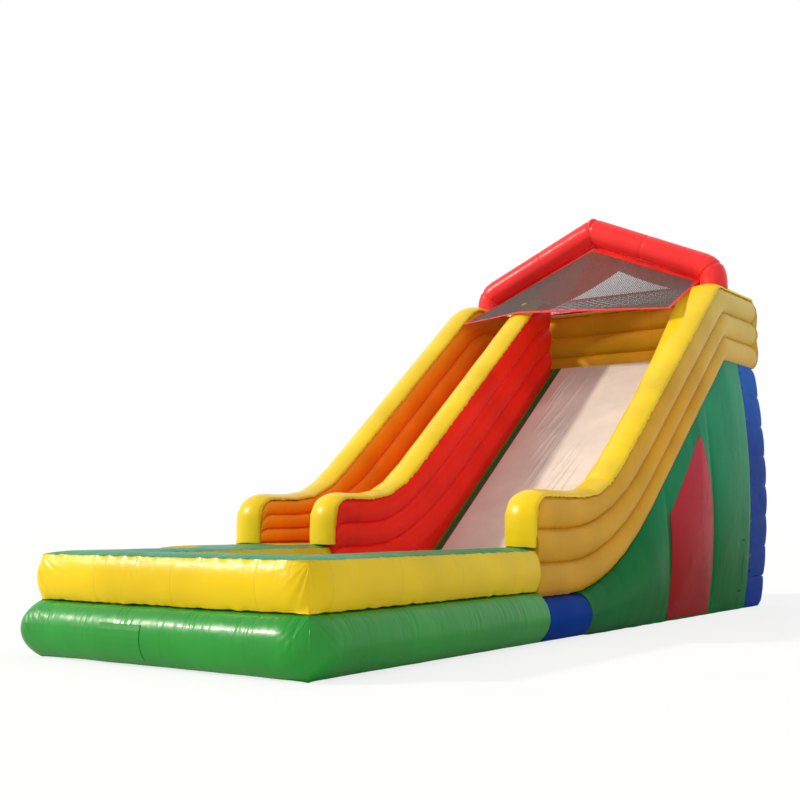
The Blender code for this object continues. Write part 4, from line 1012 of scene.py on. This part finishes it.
def cover_wrinkle(x, y, u, v):
    """How far the cover stands off the bed: long creases and soft waves, and nothing at its stitched edges."""
    free = min(1.0, u * 12, (1 - u) * 12, v * 20, (1 - v) * 20)
    height = 0.0
    for start_x, start_y, length, lean_x in creases:
        share = (y - start_y) / length
        if 0 < share < 1:
            sway = 0.02 * uneven(start_x * 9, y / 0.3, 4.0)
            section = math.exp(-((x - start_x - lean_x * share + sway) / crease_width) ** 2)
            height += crease_height * math.sin(math.pi * share) * section
    soft = 0.5 + 0.5 * uneven(x / 0.6, y / 0.9, 6.0)
    return free * (min(height, 0.024) + 0.012 * soft)


def strip_wrinkle(x, y, u, v):
    return 0.003 + 0.003 * uneven(x / 0.1, y / 0.12, 9.0)


cover = lay_on_bed("slide_cover_sheet", -0.529, 1.909, 170, 180, cover_wrinkle)
cover_area = area_of(cover)
finish_layer(cover, sheet_thickness, cover_cloth, "slide_cover")
for label in ("left", "right"):
    low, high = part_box("slide_edge_" + label)
    strip = lay_on_bed(f"slide_edge_{label}_strip", low[0], high[0], 4, 120, strip_wrinkle)
    finish_layer(strip, sheet_thickness, edge_cloth, "slide_edge_" + label)
print("cover:", round(cover_area, 2), "m2")

# %% [markdown]
# ## Flaps
# Where air is let out there is a zip, and a flap of the same cloth covers it. Each flap rides on its own body, because
# it turns on its sewn edge. The CAD flap already follows the tube, so its copy is only sliced finer and ruffled.

# %% Flaps
ruffle = 0.0012


def loose_flap(node, name, body, axis, material):
    """A flap of loose cloth, ruffled by a millimetre on its outer side."""
    item = merged_copy(node, name)
    item.data.materials.append(material)
    slice_along(item, axis, 0.02)
    slice_along(item, "z", 0.02)
    points = read_points(item)
    normals = read_normals(item)
    middle = points.mean(axis=0)
    shift = np.array([noise.noise(Vector(p) / 0.09) + 0.5 * noise.noise(Vector(p) / 0.035) for p in points])
    outward = normals * np.sign((normals * (points - middle)).sum(axis=1))[:, None]
    points += outward * (np.clip(shift, 0.0, 1.0) * ruffle)[:, None]
    write_points(item, points)
    set_number(item, "run", points[:, 0] + 20.3)
    set_number(item, "seam", np.zeros(len(points)))
    only(item)
    bpy.ops.object.shade_smooth_by_angle(angle=math.radians(40.0))
    stand_in(item, node, body)
    return item


front_flap = loose_flap("front_flap", "front_flap_cloth", "front_flap_body", "x", green)
side_flap = loose_flap("side_flap", "side_flap_cloth", "side_flap_body", "y", panel_green)
front_hem = loose_flap("front_flap_hem", "front_flap_hem_cloth", "slide_body", "x", green)
print("flaps:", front_flap.name, side_flap.name, front_hem.name)

# %% [markdown]
# ## Zips
# On a coarse moulded zip the teeth make a ridge along the middle of the tape. The measured chain has that ridge as a
# plain bar, so its copy is cut every few millimetres, and two of every four cuts across the bar are pressed down
# between the teeth. The sliders are small, hard and already right, so the measured solids stay and get a finish.

# %% Zips
tooth, tooth_drop = 0.005, 0.0018


def toothed(node, name, axis, facing):
    """Press the ridge down between the teeth, at two cuts in every four, and give the number of points moved."""
    item = merged_copy(node, name)
    item.data.materials.append(black_tape)
    slice_along(item, axis, tooth)
    fronts = [face for face in item.data.polygons if face.normal.dot(facing) > 0.6]
    ahead = np.array(max(fronts, key=lambda face: face.area).normal[:])
    points = read_points(item)
    out = points @ ahead
    crest = out > out.max() - 0.0004
    run = points[:, "xyz".index(axis)]
    place = np.round((run - run.min()) / tooth).astype(int) % 4
    inside = (run > run[crest].min() + tooth) & (run < run[crest].max() - tooth)
    low = crest & inside & (place >= 2)
    points[low] -= ahead * tooth_drop
    write_points(item, points)
    stand_in(item, node)
    return int(low.sum())


print("dips between teeth:", toothed("front_zip_chain", "front_zip_teeth", "x", Vector((0, -1, 0))),
      toothed("side_zip_chain", "side_zip_teeth", "z", Vector((1, 0, 0))))
for node in ("front_zip_slider", "side_zip_slider"):
    nodes[node].data.materials.clear()
    nodes[node].data.materials.append(black_moulding)

# %% [markdown]
# ## Inlet sleeve
# The fan is tied into this sleeve at the back. It is a loose tube of cloth, pulled in under the strap. The strap is a
# flat webbing band, pulled tight, so it only ripples by a millimetre or two.

# %% Sleeve and strap
sleeve_x, sleeve_z = -1.20, 0.265
sleeve_folds, sleeve_gather, strap_ripple = 14, 0.045, 0.002
strap_low, strap_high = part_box("inlet_strap")[0][1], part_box("inlet_strap")[1][1]
strap_y = (strap_low + strap_high) / 2


def gathered(point):
    """Draw a point of the sleeve in between the folds, but not where it is sewn or strapped."""
    reach = Vector((point[0] - sleeve_x, 0.0, point[2] - sleeve_z))
    turn = math.atan2(reach.z, reach.x)
    free = min(1.0, abs(point[1] - strap_y) / 0.12) * min(1.0, max(0.0, (point[1] - 6.24) / 0.08))
    fold = 0.5 + 0.5 * math.cos(turn * sleeve_folds + 2 * uneven(point[1] / 0.2, turn, 1.0))
    x = point[0] - reach.x * sleeve_gather * free * fold
    return (x, point[1], point[2] - reach.z * sleeve_gather * free * fold)


def rippled(point):
    """Push a point of the strap out by a little."""
    reach = Vector((point[0] - sleeve_x, 0.0, point[2] - sleeve_z)).normalized()
    ripple = strap_ripple * abs(uneven(reach.x * 6, reach.z * 6, point[1] / 0.03))
    return (point[0] + reach.x * ripple, point[1], point[2] + reach.z * ripple)


def finish_tube(item, move, cloth):
    """Move every point of a tube, smooth it and give it its cloth."""
    write_points(item, np.array([move(point) for point in read_points(item)]))
    item.data.materials.append(cloth)
    only(item)
    bpy.ops.object.shade_smooth_by_angle(angle=math.radians(50.0))


sleeve = merged_copy("inlet_sleeve", "inlet_sleeve_cloth")
slice_along(sleeve, "y", 0.03)
finish_tube(sleeve, gathered, sleeve_cloth)
stand_in(sleeve, "inlet_sleeve")
strap = merged_copy("inlet_strap", "inlet_strap_webbing")
slice_along(strap, "x", 0.015)
slice_along(strap, "z", 0.015)
finish_tube(strap, rippled, black_tape)
stand_in(strap, "inlet_strap")
print("sleeve and strap dressed")
